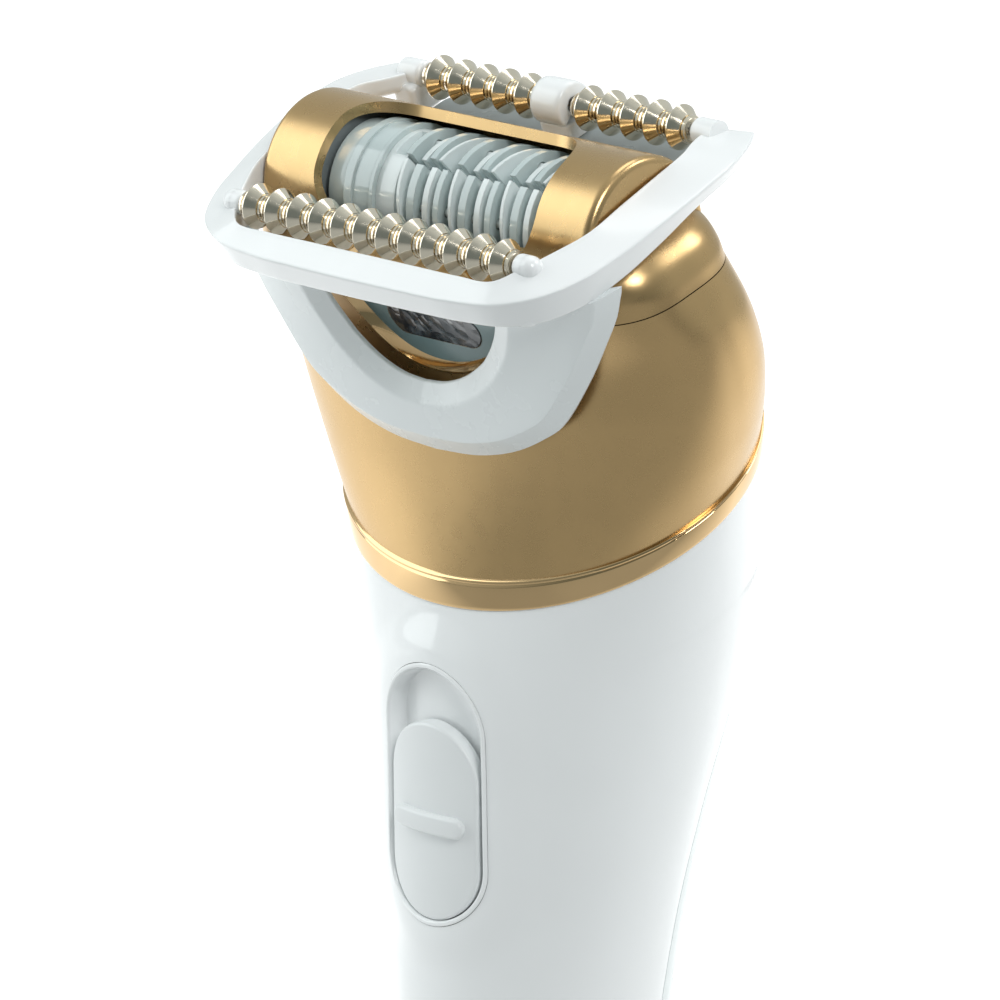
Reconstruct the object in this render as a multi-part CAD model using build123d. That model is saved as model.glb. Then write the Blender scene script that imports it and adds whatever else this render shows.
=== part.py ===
"""Hand-held epilator with a lift-off epilating head and a lift-off massage cap.

Row frame, millimetres: origin at the centre of the flat base, +Z up the handle,
-Y the front (switch side), X across. The head is built in its own frame, whose
origin lies on the drum's axis and whose +Z leans forward out of the dome.
"""
from build123d import *
import functools
import math
import os

# ---------------------------------------------------------------- driving sizes
HEAD_TILT = 18.0                 # forward lean of the head, degrees
DRUM_Y, DRUM_Z = -8.3, 163.0     # drum axis in the row frame
SHELL_WALL = 1.8
JACK_R = 1.8                     # bore for the charging plug
DOME_WALL = 1.5
PARTING_GAP = 0.12

# cross-sections of the body, bottom to top:
# centre y, centre z, tilt about X, half width, half depth, squareness
FOOT = (0.0, 0.0, 0, 13.6, 14.8, 2.0)
FOOT_EDGE = (0.0, 0.9, 0, 14.7, 15.9, 2.0)
SHELL_START = (0.0, 3.4, 0, 15.2, 16.4, 2.0)
GRIP = [
    (0.0, 22.0, 0, 15.6, 16.8, 2.0),
    (0.0, 40.0, 0, 15.9, 17.0, 2.0),
    (1.0, 59.0, 0, 17.4, 18.0, 2.0),
    (1.8, 72.0, 1, 19.1, 18.8, 2.0),
    (3.1, 85.0, 3, 21.3, 20.1, 2.0),
    (5.0, 98.0, 9, 23.6, 22.3, 2.0),
    (6.0, 112.0, 19, 26.0, 24.4, 2.0),
]
SHELL_END = (4.9, 126.7, 31, 29.0, 24.4, 2.0)
DOME_START = (4.2, 130.2, 31, 30.0, 23.5, 2.0)
DOME_MIDDLE = [
    (2.1, 137.0, 27, 32.8, 19.4, 2.3),
    (-0.3, 145.0, 22, 34.8, 16.2, 2.6),
    (-2.9, 151.8, 19, 34.8, 14.2, 2.9),
]
DOME_END = (-6.4, 157.3, 18, 33.4, 13.2, 3.1)

# switch on the front of the handle
SWITCH_Z = 89.7                  # centre of its recess
RECESS_W, RECESS_H = 16.0, 33.0
SLIDER_W, SLIDER_H = 14.4, 25.4
SLIDER_Z = 86.3
SLIDER_TRAVEL = 6.5

# head, in the head frame
BARREL_R, BARREL_HALF = 10.3, 27.5
BARREL_WALL = 1.4
WINDOW_HALF = 18.7
WINDOW_AIM = 57.0                # middle of the window, degrees up from the front
WINDOW_CHORD = 18.0
DRUM_HALF = 18.2
DRUM_R, CORE_R = 8.4, 5.6
AXLE_R = 1.5
GROUP_PITCH = 8.7
FRONT_SECTOR = (-32.0, 58.0)     # lower row of tweezer discs
TOP_SECTOR = (66.0, 140.0)       # upper row of fins
RUN_GAP = 0.05                   # radial running clearance of a shaft

# gear train
MODULE = 0.5
DRUM_TEETH, IDLER_TEETH, LAY_TEETH = 28, 14, 12
CROWN_TEETH, PINION_TEETH = 20, 8
GEAR_X, GEAR_W = -22.9, 2.4
IDLER_Z = -10.5
LAY_Z = -17.0

# cap, in the head frame
ROLLER_Y, ROLLER_Z = 16.6, 4.6
REAR_Z = 5.6                     # the rear pair sits a little higher than the front roller
BEAD_R, BEAD_NECK, BEAD_PITCH = 2.85, 1.75, 3.79
PIN_R = 0.8
FRONT_BEADS, REAR_BEADS = 12, 5
REAR_INNER = 5.1                 # x of the first rear bead

HEAD = Location((0, DRUM_Y, DRUM_Z), (HEAD_TILT, 0, 0))
os.makedirs("parts", exist_ok=True)


def save(name, shape):
    """Write one node; several solids in one node stay a compound."""
    if isinstance(shape, (list, tuple, ShapeList)):
        shape = Compound(children=list(shape))
    export_step(shape, f"parts/{name}.step")


def save_head(name, shape):
    """Write a node that was built in the head frame."""
    if isinstance(shape, (list, tuple, ShapeList)):
        shape = Compound(children=list(shape))
    export_step(shape.moved(HEAD), f"parts/{name}.step")


# ---------------------------------------------------------------- body surfaces
def oval(section, grow=0.0, shift=0.0):
    """Closed superellipse on a tilted plane; shift moves it along the plane's normal."""
    yc, zc, tilt, half_w, half_d, square = section
    t = math.radians(tilt)
    normal = (0, -math.sin(t), math.cos(t))
    origin = (0, yc + shift * normal[1], zc + shift * normal[2])
    plane = Plane(origin=origin, x_dir=(1, 0, 0), z_dir=normal)
    points = []
    for i in range(32):
        a = 2 * math.pi * i / 32
        c, s = math.cos(a), math.sin(a)
        x = (half_w + grow) * math.copysign(abs(c) ** (2 / square), c)
        y = (half_d + grow) * math.copysign(abs(s) ** (2 / square), s)
        points.append(plane.from_local_coords((x, y)))
    return Face(Wire([Edge.make_spline([Vector(*p) for p in points], periodic=True)]))


@functools.cache
def skin(sections, grow=0.0, open_ends=0.0):
    """Solid through the sections, grown sideways, and run past both ends by open_ends."""
    faces = [oval(s, grow) for s in sections]
    if open_ends:
        faces[0] = oval(sections[0], grow, -open_ends)
        faces[-1] = oval(sections[-1], grow, open_ends)
    return Solid(loft(faces).wrapped)


def block(x, y, z):
    """Box from its two ends along each axis."""
    size = (x[1] - x[0], y[1] - y[0], z[1] - z[0])
    middle = ((x[0] + x[1]) / 2, (y[0] + y[1]) / 2, (z[0] + z[1]) / 2)
    return Pos(*middle) * Box(*size)


def rod_x(r, x0, x1, y=0.0, z=0.0):
    """Round bar along X."""
    return Pos((x0 + x1) / 2, y, z) * Rot(0, 90, 0) * Cylinder(r, abs(x1 - x0))


def rod_z(r, z0, z1, x=0.0, y=0.0):
    """Round bar along Z."""
    return Pos(x, y, (z0 + z1) / 2) * Cylinder(r, abs(z1 - z0))


def stadium(width, height, z, y0, y1):
    """Upright stadium prism that faces the front."""
    face = Plane.XZ.offset(-y1) * Pos(0, z) * SlotOverall(height, width, rotation=90)
    return extrude(face, amount=y1 - y0)


SHELL = (SHELL_START, *GRIP, SHELL_END)
DOME = (DOME_START, *DOME_MIDDLE, DOME_END)


# ---------------------------------------------------------------- handle
def rear_region():
    """Everything behind the parting line, which sweeps back towards the top."""
    points = [(5.0, -6), (5.5, 20), (6.0, 40), (7.3, 63), (9.5, 80), (14, 97), (21, 111), (30, 121.5)]
    curve = Spline(*points)
    corner = Polyline((30, 121.5), (60, 121.5), (60, -6), (5.0, -6))
    face = make_face([Plane.YZ * curve, Plane.YZ * corner])
    return Pos(-50, 0, 0) * extrude(face, amount=100, dir=(1, 0, 0))


def handle_shells():
    outer = skin(SHELL)
    wall = outer - skin(SHELL, -SHELL_WALL, open_ends=2)
    region = rear_region()
    opening = stadium(RECESS_W + 0.8, RECESS_H + 0.8, SWITCH_Z, -30, -9)
    front = wall - region - opening
    rear = wall & Pos(0, PARTING_GAP * 2, 0) * region
    return front, rear


def base_cap():
    foot = skin((FOOT, FOOT_EDGE, SHELL_START))
    lip = skin((SHELL_START, GRIP[0]), -SHELL_WALL - 0.1)
    lip = lip & block((-30, 30), (-30, 30), (3.4, 6.4))
    cap = foot + lip
    cap -= skin((SHELL_START, GRIP[0]), -SHELL_WALL - 1.5) & block((-30, 30), (-30, 30), (4.4, 9))
    cap -= rod_z(3.2, -1, 9)
    for x in (-8, 8):
        cap -= rod_z(1.25, -1, 9, x, 0)
        cap -= rod_z(2.2, -1, 1.6, x, 0)
    return cap


def charge_socket():
    body = rod_z(3.15, 0, 9.0)
    return body - rod_z(JACK_R, 0, 7.6)


def base_screws():
    screws = []
    for x in (-8, 8):
        screw = rod_z(2.1, 0.5, 1.6, x, 0) + rod_z(1.2, 1.6, 8.0, x, 0)
        slot = block((x - 1.6, x + 1.6), (-0.25, 0.25), (0.4, 0.9))
        screws.append(screw - slot)
    return screws


def switch_bezel():
    ring = stadium(RECESS_W + 0.8, RECESS_H + 0.8, SWITCH_Z, -30, -9)
    lip = ring - stadium(RECESS_W - 0.6, RECESS_H - 0.6, SWITCH_Z, -31, -8)
    lip = (lip & skin(SHELL, 0.35)) - skin(SHELL, -2.9, open_ends=2)
    floor = (ring & skin(SHELL, -2.0)) - skin(SHELL, -2.9, open_ends=2)
    slot = block((-1.7, 1.7), (-30, -8), (SLIDER_Z - 2.4, SLIDER_Z + 2.4 + SLIDER_TRAVEL))
    return lip + floor - slot


def switch_slider():
    pad = stadium(SLIDER_W, SLIDER_H, SLIDER_Z, -30, -9) & skin(SHELL, 0.45)
    pad -= skin(SHELL, -1.5, open_ends=2)
    bar = Plane.XZ.offset(12) * Pos(0, SLIDER_Z) * SlotOverall(11.2, 2.6)
    bar = (extrude(bar, amount=12) & skin(SHELL, 1.55)) - skin(SHELL, -1.0, open_ends=2)
    foot = block((-1.4, 1.4), (-15.6, -12.6), (SLIDER_Z - 1.6, SLIDER_Z + 1.6))
    return pad + bar + foot


def handle_inside():
    """Battery, carrier, circuit board and the electrical switch, upright in the grip."""
    cell = rod_z(7.0, 14, 62, 0, 1.5)
    cell = fillet(cell.edges(), 0.8) + rod_z(2.4, 62, 63.2, 0, 1.5)
    save("battery_cell", cell)
    tabs = [rod_z(3.0, 13.4, 14, 0, 1.5), rod_z(2.4, 63.2, 63.8, 0, 1.5)]
    save("battery_tabs", tabs)

    carrier = block((-6.5, 6.5), (9.4, 10.9), (9.4, 100))
    for z in (20, 52):
        cradle = block((-8.6, 8.6), (-2.0, 9.4), (z, z + 5)) - rod_z(7.05, z - 1, z + 6, 0, 1.5)
        carrier += cradle
    for x in (-1, 1):
        carrier += block((x * 8.6 - 1.1, x * 8.6 + 1.1), (-8.2, 9.4), (66, 70))
    carrier += block((-9.7, 9.7), (8.0, 9.4), (66, 70))
    carrier -= rod_z(7.05, 10, 63, 0, 1.5)
    save("battery_carrier", carrier)

    board = block((-7.8, 7.8), (-9.6, -8.4), (58, 103))
    for z in (61, 100):
        board -= Pos(0, -9, z) * Rot(90, 0, 0) * Cylinder(1.1, 3)
    save("circuit_board", board)
    chips = [block((-5, 1), (-8.4, -7.2), (73, 79)), block((-4.5, -0.5), (-8.4, -7.4), (92, 96))]
    chips.append(Pos(4.6, -6.6, 84) * Rot(90, 0, 0) * Cylinder(2.4, 3.6))
    save("board_parts", chips)
    box = block((-3.4, 3.4), (-12.4, -9.6), (SLIDER_Z - 5, SLIDER_Z + 5 + SLIDER_TRAVEL))
    box -= block((-1.7, 1.7), (-13, -10.6), (SLIDER_Z - 2.4, SLIDER_Z + 2.4 + SLIDER_TRAVEL))
    save("slide_switch", box)


# ---------------------------------------------------------------- dome and ring
def trim_ring():
    band = skin((SHELL_END, DOME_START), 0.3)
    bore = skin((SHELL_END, DOME_START), -SHELL_WALL, open_ends=2)
    return band - bore


def light_shape(grow=0.0):
    """Prism for the crescent window under the cap's cut-out, in the head frame."""
    oval_face = Plane.XZ.offset(4) * Pos(0, -7.2) * Ellipse(12.6 + grow, 8.2 + grow)
    return extrude(oval_face, amount=20)


def dome_parts():
    outer = skin(DOME)
    wall = outer - skin(DOME, -DOME_WALL, open_ends=2)
    window = light_shape(1.1).moved(HEAD)
    button_hole = rod_z(4.3, -8, 12).moved(button_place(0))
    dome = wall - window - button_hole
    save("dome", dome)
    shell = (skin(DOME, 0.1, open_ends=0) - skin(DOME, -1.1, open_ends=2))
    rim = (light_shape(1.0) - light_shape(0.0)).moved(HEAD) & shell
    save("light_rim", keep_largest(rim))
    deep = skin(DOME, -0.9) - skin(DOME, -2.1, open_ends=2)
    lens_cut = lens_prism(0.05).moved(HEAD)
    panel = (light_shape(-0.05).moved(HEAD) & deep) - lens_cut
    save("light_panel", keep_largest(panel))
    lens = (skin(DOME, -0.4) - skin(DOME, -2.1, open_ends=2)) & lens_prism(0.0).moved(HEAD)
    save("light_lens", keep_largest(lens))
    led = block((-1.6, 1.6), (-9.9, -8.9), (-11.6, -9.4)) + block((-4.5, 4.5), (-8.9, -8.2), (-13, -8))
    save_head("work_light", led)


def lens_prism(grow):
    face = Plane.XZ.offset(4) * Pos(0, -10.6) * SlotOverall(11.4 + 2 * grow, 4.0 + 2 * grow)
    return extrude(face, amount=20)


def keep_largest(shape):
    """The biggest solid of a cut that can leave slivers."""
    return max(shape.solids(), key=lambda s: s.volume)


def button_place(depth):
    """Frame on the back of the dome whose +Z points straight out of the wall."""
    return Location((0, 13.8, 150.8), (-49, 0, 0)) * Location((0, 0, depth))


def release_button():
    cap = rod_z(4.0, -4.6, 0.7)
    cap = fillet(cap.edges().filter_by(GeomType.CIRCLE).sort_by(Axis.Z)[-1], 0.5)
    flange = rod_z(5.2, -4.6, -3.8)
    return (cap + flange).moved(button_place(0))


# ---------------------------------------------------------------- motor
def star(r, arm, z0, z1):
    """Cross-shaped drive dog."""
    shape = block((-r, r), (-arm / 2, arm / 2), (z0, z1)) + block((-arm / 2, arm / 2), (-r, r), (z0, z1))
    return shape & rod_z(r, z0 - 1, z1 + 1)


def motor_parts():
    can = rod_z(11.0, -62, -36)
    can = fillet(can.edges(), 0.8)
    save_head("motor_can", can + rod_z(3.0, -36, -35.2) - rod_z(1.0 + RUN_GAP, -50, -34))
    save_head("motor_shaft", rod_z(1.0, -48, -27.6))
    save_head("drive_star", star(3.0, 1.7, -30.4, -27.7) - rod_z(1.0, -31, -27))
    mount = extrude(Pos(0, 0, -36) * Ellipse(22, 12.0), amount=1.6) - rod_z(3.05, -37, -34)
    for x in (-8, 8):
        mount -= rod_z(1.25, -37, -34, x)
    save_head("motor_mount", mount)
    screws = [rod_z(2.0, -34.4, -33.2, x) + rod_z(1.2, -36, -34.4, x) for x in (-8, 8)]
    screws = [s - block((x - 1.5, x + 1.5), (-0.25, 0.25), (-33.6, -33)) for s, x in zip(screws, (-8, 8))]
    save_head("motor_screws", screws)
    wall = extrude(Pos(0, 0.6, -32.6) * Ellipse(25, 11.5), amount=1.4) - rod_z(2.6, -34, -30)
    save_head("bulkhead", wall)
    save_head("shaft_seal", rod_z(2.6, -32.6, -31.0) - rod_z(1.0 + RUN_GAP, -34, -30))


# ---------------------------------------------------------------- gears
def gear_face(teeth, turn=0.0, thin=0.06):
    """Involute spur gear outline centred on the origin; turn is the angle of one tooth."""
    pitch_r = MODULE * teeth / 2
    base_r = pitch_r * math.cos(math.radians(20))
    tip_r = pitch_r + 0.9 * MODULE
    root_r = pitch_r - 1.2 * MODULE
    inv20 = math.tan(math.radians(20)) - math.radians(20)
    half = math.pi / (2 * teeth) - thin / pitch_r + inv20
    radii = [max(base_r, root_r) + (tip_r - max(base_r, root_r)) * k / 4 for k in range(5)]
    flank = []
    for r in radii:
        pressure = math.acos(min(1, base_r / r))
        flank.append((r, half - (math.tan(pressure) - pressure)))
    points = []
    for i in range(teeth):
        centre = math.radians(turn) + 2 * math.pi * i / teeth
        points.append(polar(root_r, centre - flank[0][1]))
        points += [polar(r, centre - a) for r, a in flank]
        points += [polar(r, centre + a) for r, a in reversed(flank)]
        points.append(polar(root_r, centre + flank[0][1]))
    return make_face(Polyline(*points, close=True))


def polar(r, a):
    return (r * math.cos(a), r * math.sin(a))


def gear_x(teeth, x, width, z, bore, tooth_up):
    """Spur gear about X; tooth_up puts a tooth, not a gap, straight up the head's axis."""
    turn = 90.0 if tooth_up else 90.0 + 180.0 / teeth
    face = gear_face(teeth, turn) - Circle(bore)
    return Pos(x - width / 2, 0, z) * (Plane.YZ * extrude(face, amount=width))


def gear_parts():
    # the drum gear has a gap facing the idler, the idler a tooth each way
    gap_down = gear_x(DRUM_TEETH, GEAR_X, GEAR_W, 0, AXLE_R, tooth_up=False)
    save_head("drum_gear", gap_down)
    save_head("idler_gear", gear_x(IDLER_TEETH, GEAR_X, GEAR_W, IDLER_Z, 1.0 + RUN_GAP, tooth_up=True))
    save_head("idler_pin", rod_x(1.0, -25.6, -20.6, 0, IDLER_Z))
    save_head("lay_gear", gear_x(LAY_TEETH, GEAR_X, GEAR_W, LAY_Z, 1.0, tooth_up=False))
    save_head("lay_shaft", rod_x(1.0, -25.4, -3.6, 0, LAY_Z))

    crown = rod_x(5.9, -5.6, -3.7, 0, LAY_Z) - rod_x(1.0, -7, -2, 0, LAY_Z)
    tooth = block((-3.7, -2.75), (-0.36, 0.36), (4.0, 5.9))
    teeth = [Pos(0, 0, LAY_Z) * Rot(360 * i / CROWN_TEETH, 0, 0) * tooth for i in range(CROWN_TEETH)]
    save_head("crown_gear", crown + teeth)

    pinion = Pos(0, 0, -23.2) * extrude(gear_face(PINION_TEETH) - Circle(0.8), amount=2.4)
    save_head("input_pinion", pinion)
    cup = rod_z(4.4, -30.0, -26.4) - rod_z(3.3, -31, -27.2)
    for turn in (45, 225):
        cup += Rot(0, 0, turn) * block((2.3, 3.6), (-0.5, 0.5), (-30.0, -27.2))
    shaft = rod_z(1.0, -26.4, -23.2) + rod_z(0.8, -23.2, -20.4)
    save_head("input_shaft", cup + shaft)


# ---------------------------------------------------------------- head
def shoulders(grow=0.0, low=-5.6):
    """Body of the head between the seam and the barrel, in the head frame."""
    levels = [(low, 33.2, 13.1, 3.1), (-3.4, 32.6, 13.0, 3.1), (-1.0, 31.2, 12.4, 3.1), (1.4, 28.6, 11.2, 3.1)]
    faces = [oval((0, z, 0, a, b, n), grow) for z, a, b, n in levels]
    return Solid(loft(faces).wrapped)


def head_shell():
    barrel = rod_x(BARREL_R, -BARREL_HALF, BARREL_HALF)
    barrel = fillet(barrel.edges().filter_by(GeomType.CIRCLE), 1.2)
    barrel &= block((-40, 40), (-20, 20), (-5.6, 20))
    shell = shoulders() + barrel
    inner_r = BARREL_R - BARREL_WALL
    shell -= rod_x(inner_r, -BARREL_HALF + 1.4, BARREL_HALF - 1.4)
    shell -= shoulders(-1.5, low=-7.6) & block((-26.1, 26.1), (-20, 20), (-9, 0.2))
    aim = Rot(-(90 - WINDOW_AIM), 0, 0)
    window = extrude(Pos(0, 0, 3) * RectangleRounded(2 * WINDOW_HALF, WINDOW_CHORD, 4.0), amount=20)
    return shell - (Rot(90 - WINDOW_AIM, 0, 0) * window)


def head_chassis():
    """Gear case below the seam with two bearing cheeks that rise beside the drum."""
    case = block((-27.0, 12.0), (-7.2, 7.2), (-25.8, -11.6))
    case -= block((-25.8, 10.8), (-6.15, 6.15), (-24.2, -5))
    for x in (-20.6, 19.2):
        cheek = rod_x(8.85, x, x + 1.4) & block((-30, 30), (-9, 9), (-7.0, 20))
        cheek += block((x, x + 1.4), (-6.4, 6.4), (-11.6 if x > 0 else -25.0, -6.9))
        case += cheek
    case += block((10.8, 20.6), (-6.4, 6.4), (-11.6, -10.2))
    case += block((-9.0, -7.6), (-6.4, 6.4), (-25.0, -13.6))
    for x in (-20.6, 19.2):
        case -= rod_x(2.5, x - 1, x + 2.4)
    case -= rod_x(1.0 + RUN_GAP, -22, -7, 0, LAY_Z)
    case -= rod_x(1.0, -22, -19, 0, IDLER_Z)
    case -= rod_z(1.0 + RUN_GAP, -27, -23)
    return case


def bushes():
    return [rod_x(2.5, x, x + 1.4) - rod_x(AXLE_R + RUN_GAP, x - 1, x + 2.4) for x in (-20.6, 19.2)]


# ---------------------------------------------------------------- drum
def sector(r0, r1, a0, a1, x, thick, inside=0.0):
    """Piece of a disc about X; angles are degrees up from the front."""
    def at(r, a):
        a = math.radians(a)
        return (-r * math.cos(a), r * math.sin(a))
    mid = (a0 + a1) / 2
    edges = [
        Line(at(r0, a0), at(r1, a0)),
        ThreePointArc(at(r1, a0), at(r1, mid), at(r1, a1)),
        Line(at(r1, a1), at(r0, a1)),
        ThreePointArc(at(r0, a1), at(r0, mid), at(r0, a0)),
    ]
    face = make_face(edges)
    return Pos(x - thick / 2, 0, 0) * (Plane.YZ * extrude(face, amount=thick))


def slanted(r0, r1, a0, a1, x, thick, lean):
    """Sector blade whose plane is turned about its own middle radius."""
    wide = sector(r0, r1, a0, a1, x, 9.0)
    mid = (a0 + a1) / 2
    slab = Box(thick, 40, 40)
    return wide & (Pos(x, 0, 0) * Rot(90 - mid, 0, 0) * Rot(0, 0, lean) * slab)


def both_ways(make):
    """A piece and its twin on the other side of the drum."""
    first = make()
    return [first, Rot(180, 0, 0) * first]


def drum_parts():
    core = rod_x(CORE_R, -10.3, DRUM_HALF - 1.2) - rod_x(AXLE_R, -20, 20)
    save_head("drum_core", core)
    left = rod_x(7.9, -DRUM_HALF, -15.2) + rod_x(DRUM_R, -15.2, -13.9) + rod_x(8.1, -13.9, -10.9)
    left += rod_x(DRUM_R, -10.9, -10.3)
    save_head("left_flange", left - rod_x(AXLE_R, -20, 20))
    band = rod_x(7.7, -10.3, -7.15) - rod_x(CORE_R, -12, -5)
    for turn in (0, 180):
        cut = sector(6.0, 9.0, 66, 104, -8.4, 1.8)
        band -= Rot(turn, 0, 0) * cut
    save_head("drum_band", band)
    right = rod_x(DRUM_R, DRUM_HALF - 1.2, DRUM_HALF) - rod_x(AXLE_R, 10, 30)
    save_head("right_flange", right)
    save_head("drum_axle", rod_x(AXLE_R, -25.4, 25.4))

    discs, blades, moving = [], [], []
    for k in range(3):
        x = k * GROUP_PITCH
        discs += both_ways(lambda: sector(CORE_R, DRUM_R, *FRONT_SECTOR, x - 3.8, 1.2))
        if k < 2:
            discs += both_ways(lambda: sector(CORE_R, DRUM_R, *FRONT_SECTOR, x + 0.5, 0.9))
        # the last moving disc closes on the flange, so it starts further in
        rest = x - (1.3 if k < 2 else 1.75)
        moving += both_ways(lambda: sector(CORE_R + 0.08, DRUM_R, *FRONT_SECTOR, rest, 0.9))
        discs += both_ways(lambda: sector(CORE_R, DRUM_R - 0.1, *TOP_SECTOR, x - 6.6, 0.9))
        discs += both_ways(lambda: sector(CORE_R, DRUM_R - 0.1, *TOP_SECTOR, x - 2.6, 0.9))
        moving += both_ways(lambda: sector(CORE_R + 0.08, DRUM_R - 0.9, 66, 112, x - 4.6, 0.8))
        blades += both_ways(lambda: slanted(CORE_R, DRUM_R, -32, 61, x - 5.7, 0.5, 6))
        blades += both_ways(lambda: slanted(CORE_R, DRUM_R - 0.2, 66, 138, x - 0.2, 0.5, -14))
    rods = []
    for angle in (20, 100):
        for turn in (0, 180):
            a = math.radians(angle + turn)
            rods.append((-6.5 * math.cos(a), 6.5 * math.sin(a)))
    tunnel = [rod_x(0.75, -6.9, 16.6, y, z) for y, z in rods]
    blade_room = rod_x(9, -10.2, DRUM_HALF - 1.3)
    links = [rod_x(0.6, -6.6, 15.7, y, z) for y, z in rods]
    save_head("tweezer_discs", [d - tunnel for d in discs])
    save_head("lifter_blades", [(b - tunnel) & blade_room for b in blades])
    save_head("moving_discs", (Compound(children=links[:1]) + links[1:] + moving).solids())


# ---------------------------------------------------------------- cap
def plan_face(points, front):
    """Closed plan outline from half of it: straight front, curved side, straight back."""
    side = Spline(*points)
    mirror_side = Spline(*[(-x, y) for x, y in reversed(points)])
    front_line = Line((-front[0], front[1]), (front[0], front[1]))
    back_line = Line(points[-1], (-points[-1][0], points[-1][1]))
    return make_face([front_line, side, back_line, mirror_side])


def band_profile(x_half):
    """Side view of the frame: low at the front, arched over the barrel's ends."""
    top = Spline((-26, 3.4), (-18, 4.0), (-8, 6.0), (2, 7.1), (10, 6.9), (17, 5.2), (25, 2.4))
    right = Line((25, 2.4), (25, 0.2))
    low = Spline((25, 0.2), (17, 1.8), (8, 3.7), (0, 3.9), (-8, 2.2), (-15, 0.0), (-20, -1.4), (-26, -1.6))
    left = Line((-26, -1.6), (-26, 3.4))
    face = make_face([Plane.YZ * e for e in (top, right, low, left)])
    return Pos(-x_half, 0, 0) * extrude(face, amount=2 * x_half, dir=(1, 0, 0))


def cap_frame():
    outline = [(15, -23.6), (24, -21.8), (30.4, -15), (33.4, -5), (33.9, 5), (32.4, 13), (29.3, 20.4)]
    outer = plan_face(outline, (15, -23.6))
    solid = extrude(Pos(0, 0, -10) * outer, amount=30)
    opening = extrude(Pos(0, -3.4, -10) * RectangleRounded(56.8, 33.2, 7.0), amount=30)
    solid -= opening
    solid &= band_profile(40)
    solid -= block((-22.9, 22.9), (12.9, 20.3), (-5, 12))
    solid -= block((-27.2, 27.2), (-20.0, -13.0), (-5, 12))
    solid += block((-27.2, 27.2), (-20.1, -16.0), (-1.5, -0.4))
    for x in (-1, 1):
        ear = block((min(x * 23.1, x * 26.6), max(x * 23.1, x * 26.6)), (13.4, 19.8), (0.9, 6.0))
        ear += rod_x(2.3, min(x * 23.3, x * 26.6), max(x * 23.3, x * 26.6), ROLLER_Y, REAR_Z)
        solid += ear
        post = rod_x(1.8, min(x * 23.6, x * 28.2), max(x * 23.6, x * 28.2), -ROLLER_Y, ROLLER_Z)
        post += block((min(x * 25.0, x * 28.6), max(x * 25.0, x * 28.6)), (-19.4, -14.6), (0.4, 4.6))
        solid += post
    for y, z, reach in ((-ROLLER_Y, ROLLER_Z, 27.5), (ROLLER_Y, REAR_Z, 26.0)):
        solid -= rod_x(PIN_R, -reach, reach, y, z)
    return keep_largest(solid)


def cap_trough():
    """Grey tray under the rear rollers."""
    tray = block((-22.8, 22.8), (12.9, 20.2), (0.3, 1.3))
    tray += block((-22.8, 22.8), (13.1, 13.9), (-0.8, 0.3))
    return tray


def cap_skirt():
    """Curved apron over the front of the dome, with a half-round cut-out for the light."""
    levels = [(-34, 17.0, 33.5, 2.4), (-27, 15.6, 34.9, 2.6), (-18, 14.6, 35.6, 2.9), (-9, 14.1, 35.1, 3.1),
              (-3, 14.9, 34.2, 3.1), (1.0, 17.0, 33.6, 3.1)]

    def surface(grow):
        return Solid(loft([oval((0, z, 0, a, b, n), grow) for z, b, a, n in levels]).wrapped)
    shell = surface(1.95) - surface(0.7)
    apron = extrude(Plane.XZ.offset(2) * Pos(0, 0) * Ellipse(32.6, 27.0), amount=30)
    shell &= apron & block((-40, 40), (-40, -1), (-30, -1.5))
    cut = extrude(Plane.XZ * Pos(0, -1.0) * Ellipse(15.4, 15.4), amount=40)
    return keep_largest(shell - cut)


def bead_profile(xs):
    """Half outline of a turned roller: double cones joined by short waists."""
    points = [(xs[0] - BEAD_PITCH / 2, PIN_R + RUN_GAP)]
    for x in xs:
        half = BEAD_PITCH / 2
        points.append((x - half, BEAD_NECK))
        points.append((x - half + 0.45, BEAD_NECK))
        points.append((x - 0.16, BEAD_R))
        points.append((x + 0.16, BEAD_R))
        points.append((x + half - 0.45, BEAD_NECK))
        points.append((x + half, BEAD_NECK))
    points.append((xs[-1] + BEAD_PITCH / 2, PIN_R + RUN_GAP))
    cleaned = [points[0]]
    for p in points[1:]:
        if p != cleaned[-1]:
            cleaned.append(p)
    return cleaned


def roller(xs, y, z):
    face = make_face(Polyline(*bead_profile(xs), close=True))
    turned = revolve(face, axis=Axis.X, revolution_arc=360)
    return Pos(0, y, z) * turned


def cap_parts():
    save_head("cap_frame", cap_frame())
    save_head("cap_trough", cap_trough())
    save_head("cap_skirt", cap_skirt())
    clip = rod_x(3.0, -2.6, 2.6, ROLLER_Y, REAR_Z) + block((-2.6, 2.6), (14.4, 18.8), (1.3, 5.6))
    clip -= rod_x(PIN_R, -4, 4, ROLLER_Y, REAR_Z)
    save_head("centre_clip", clip)
    pins = [rod_x(PIN_R, -27.5, 27.5, -ROLLER_Y, ROLLER_Z), rod_x(PIN_R, -26, 26, ROLLER_Y, REAR_Z)]
    save_head("roller_pins", pins)
    front = [BEAD_PITCH * (i - (FRONT_BEADS - 1) / 2) for i in range(FRONT_BEADS)]
    save_head("front_roller", roller(front, -ROLLER_Y, ROLLER_Z))
    right = [REAR_INNER + BEAD_PITCH * i for i in range(REAR_BEADS)]
    save_head("rear_right_roller", roller(right, ROLLER_Y, REAR_Z))
    save_head("rear_left_roller", roller([-x for x in reversed(right)], ROLLER_Y, REAR_Z))


# ---------------------------------------------------------------- build all
front_shell, rear_shell = handle_shells()
save("front_shell", front_shell)
save("rear_shell", rear_shell)
save("base_cap", base_cap())
save("charge_socket", charge_socket())
save("base_screws", base_screws())
save("switch_bezel", switch_bezel())
save("switch_slider", switch_slider())
handle_inside()
save("trim_ring", trim_ring())
dome_parts()
save("release_button", release_button())
motor_parts()
gear_parts()
save_head("head_shell", head_shell())
save_head("head_chassis", head_chassis())
save_head("drum_bushes", bushes())
drum_parts()
cap_parts()
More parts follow.
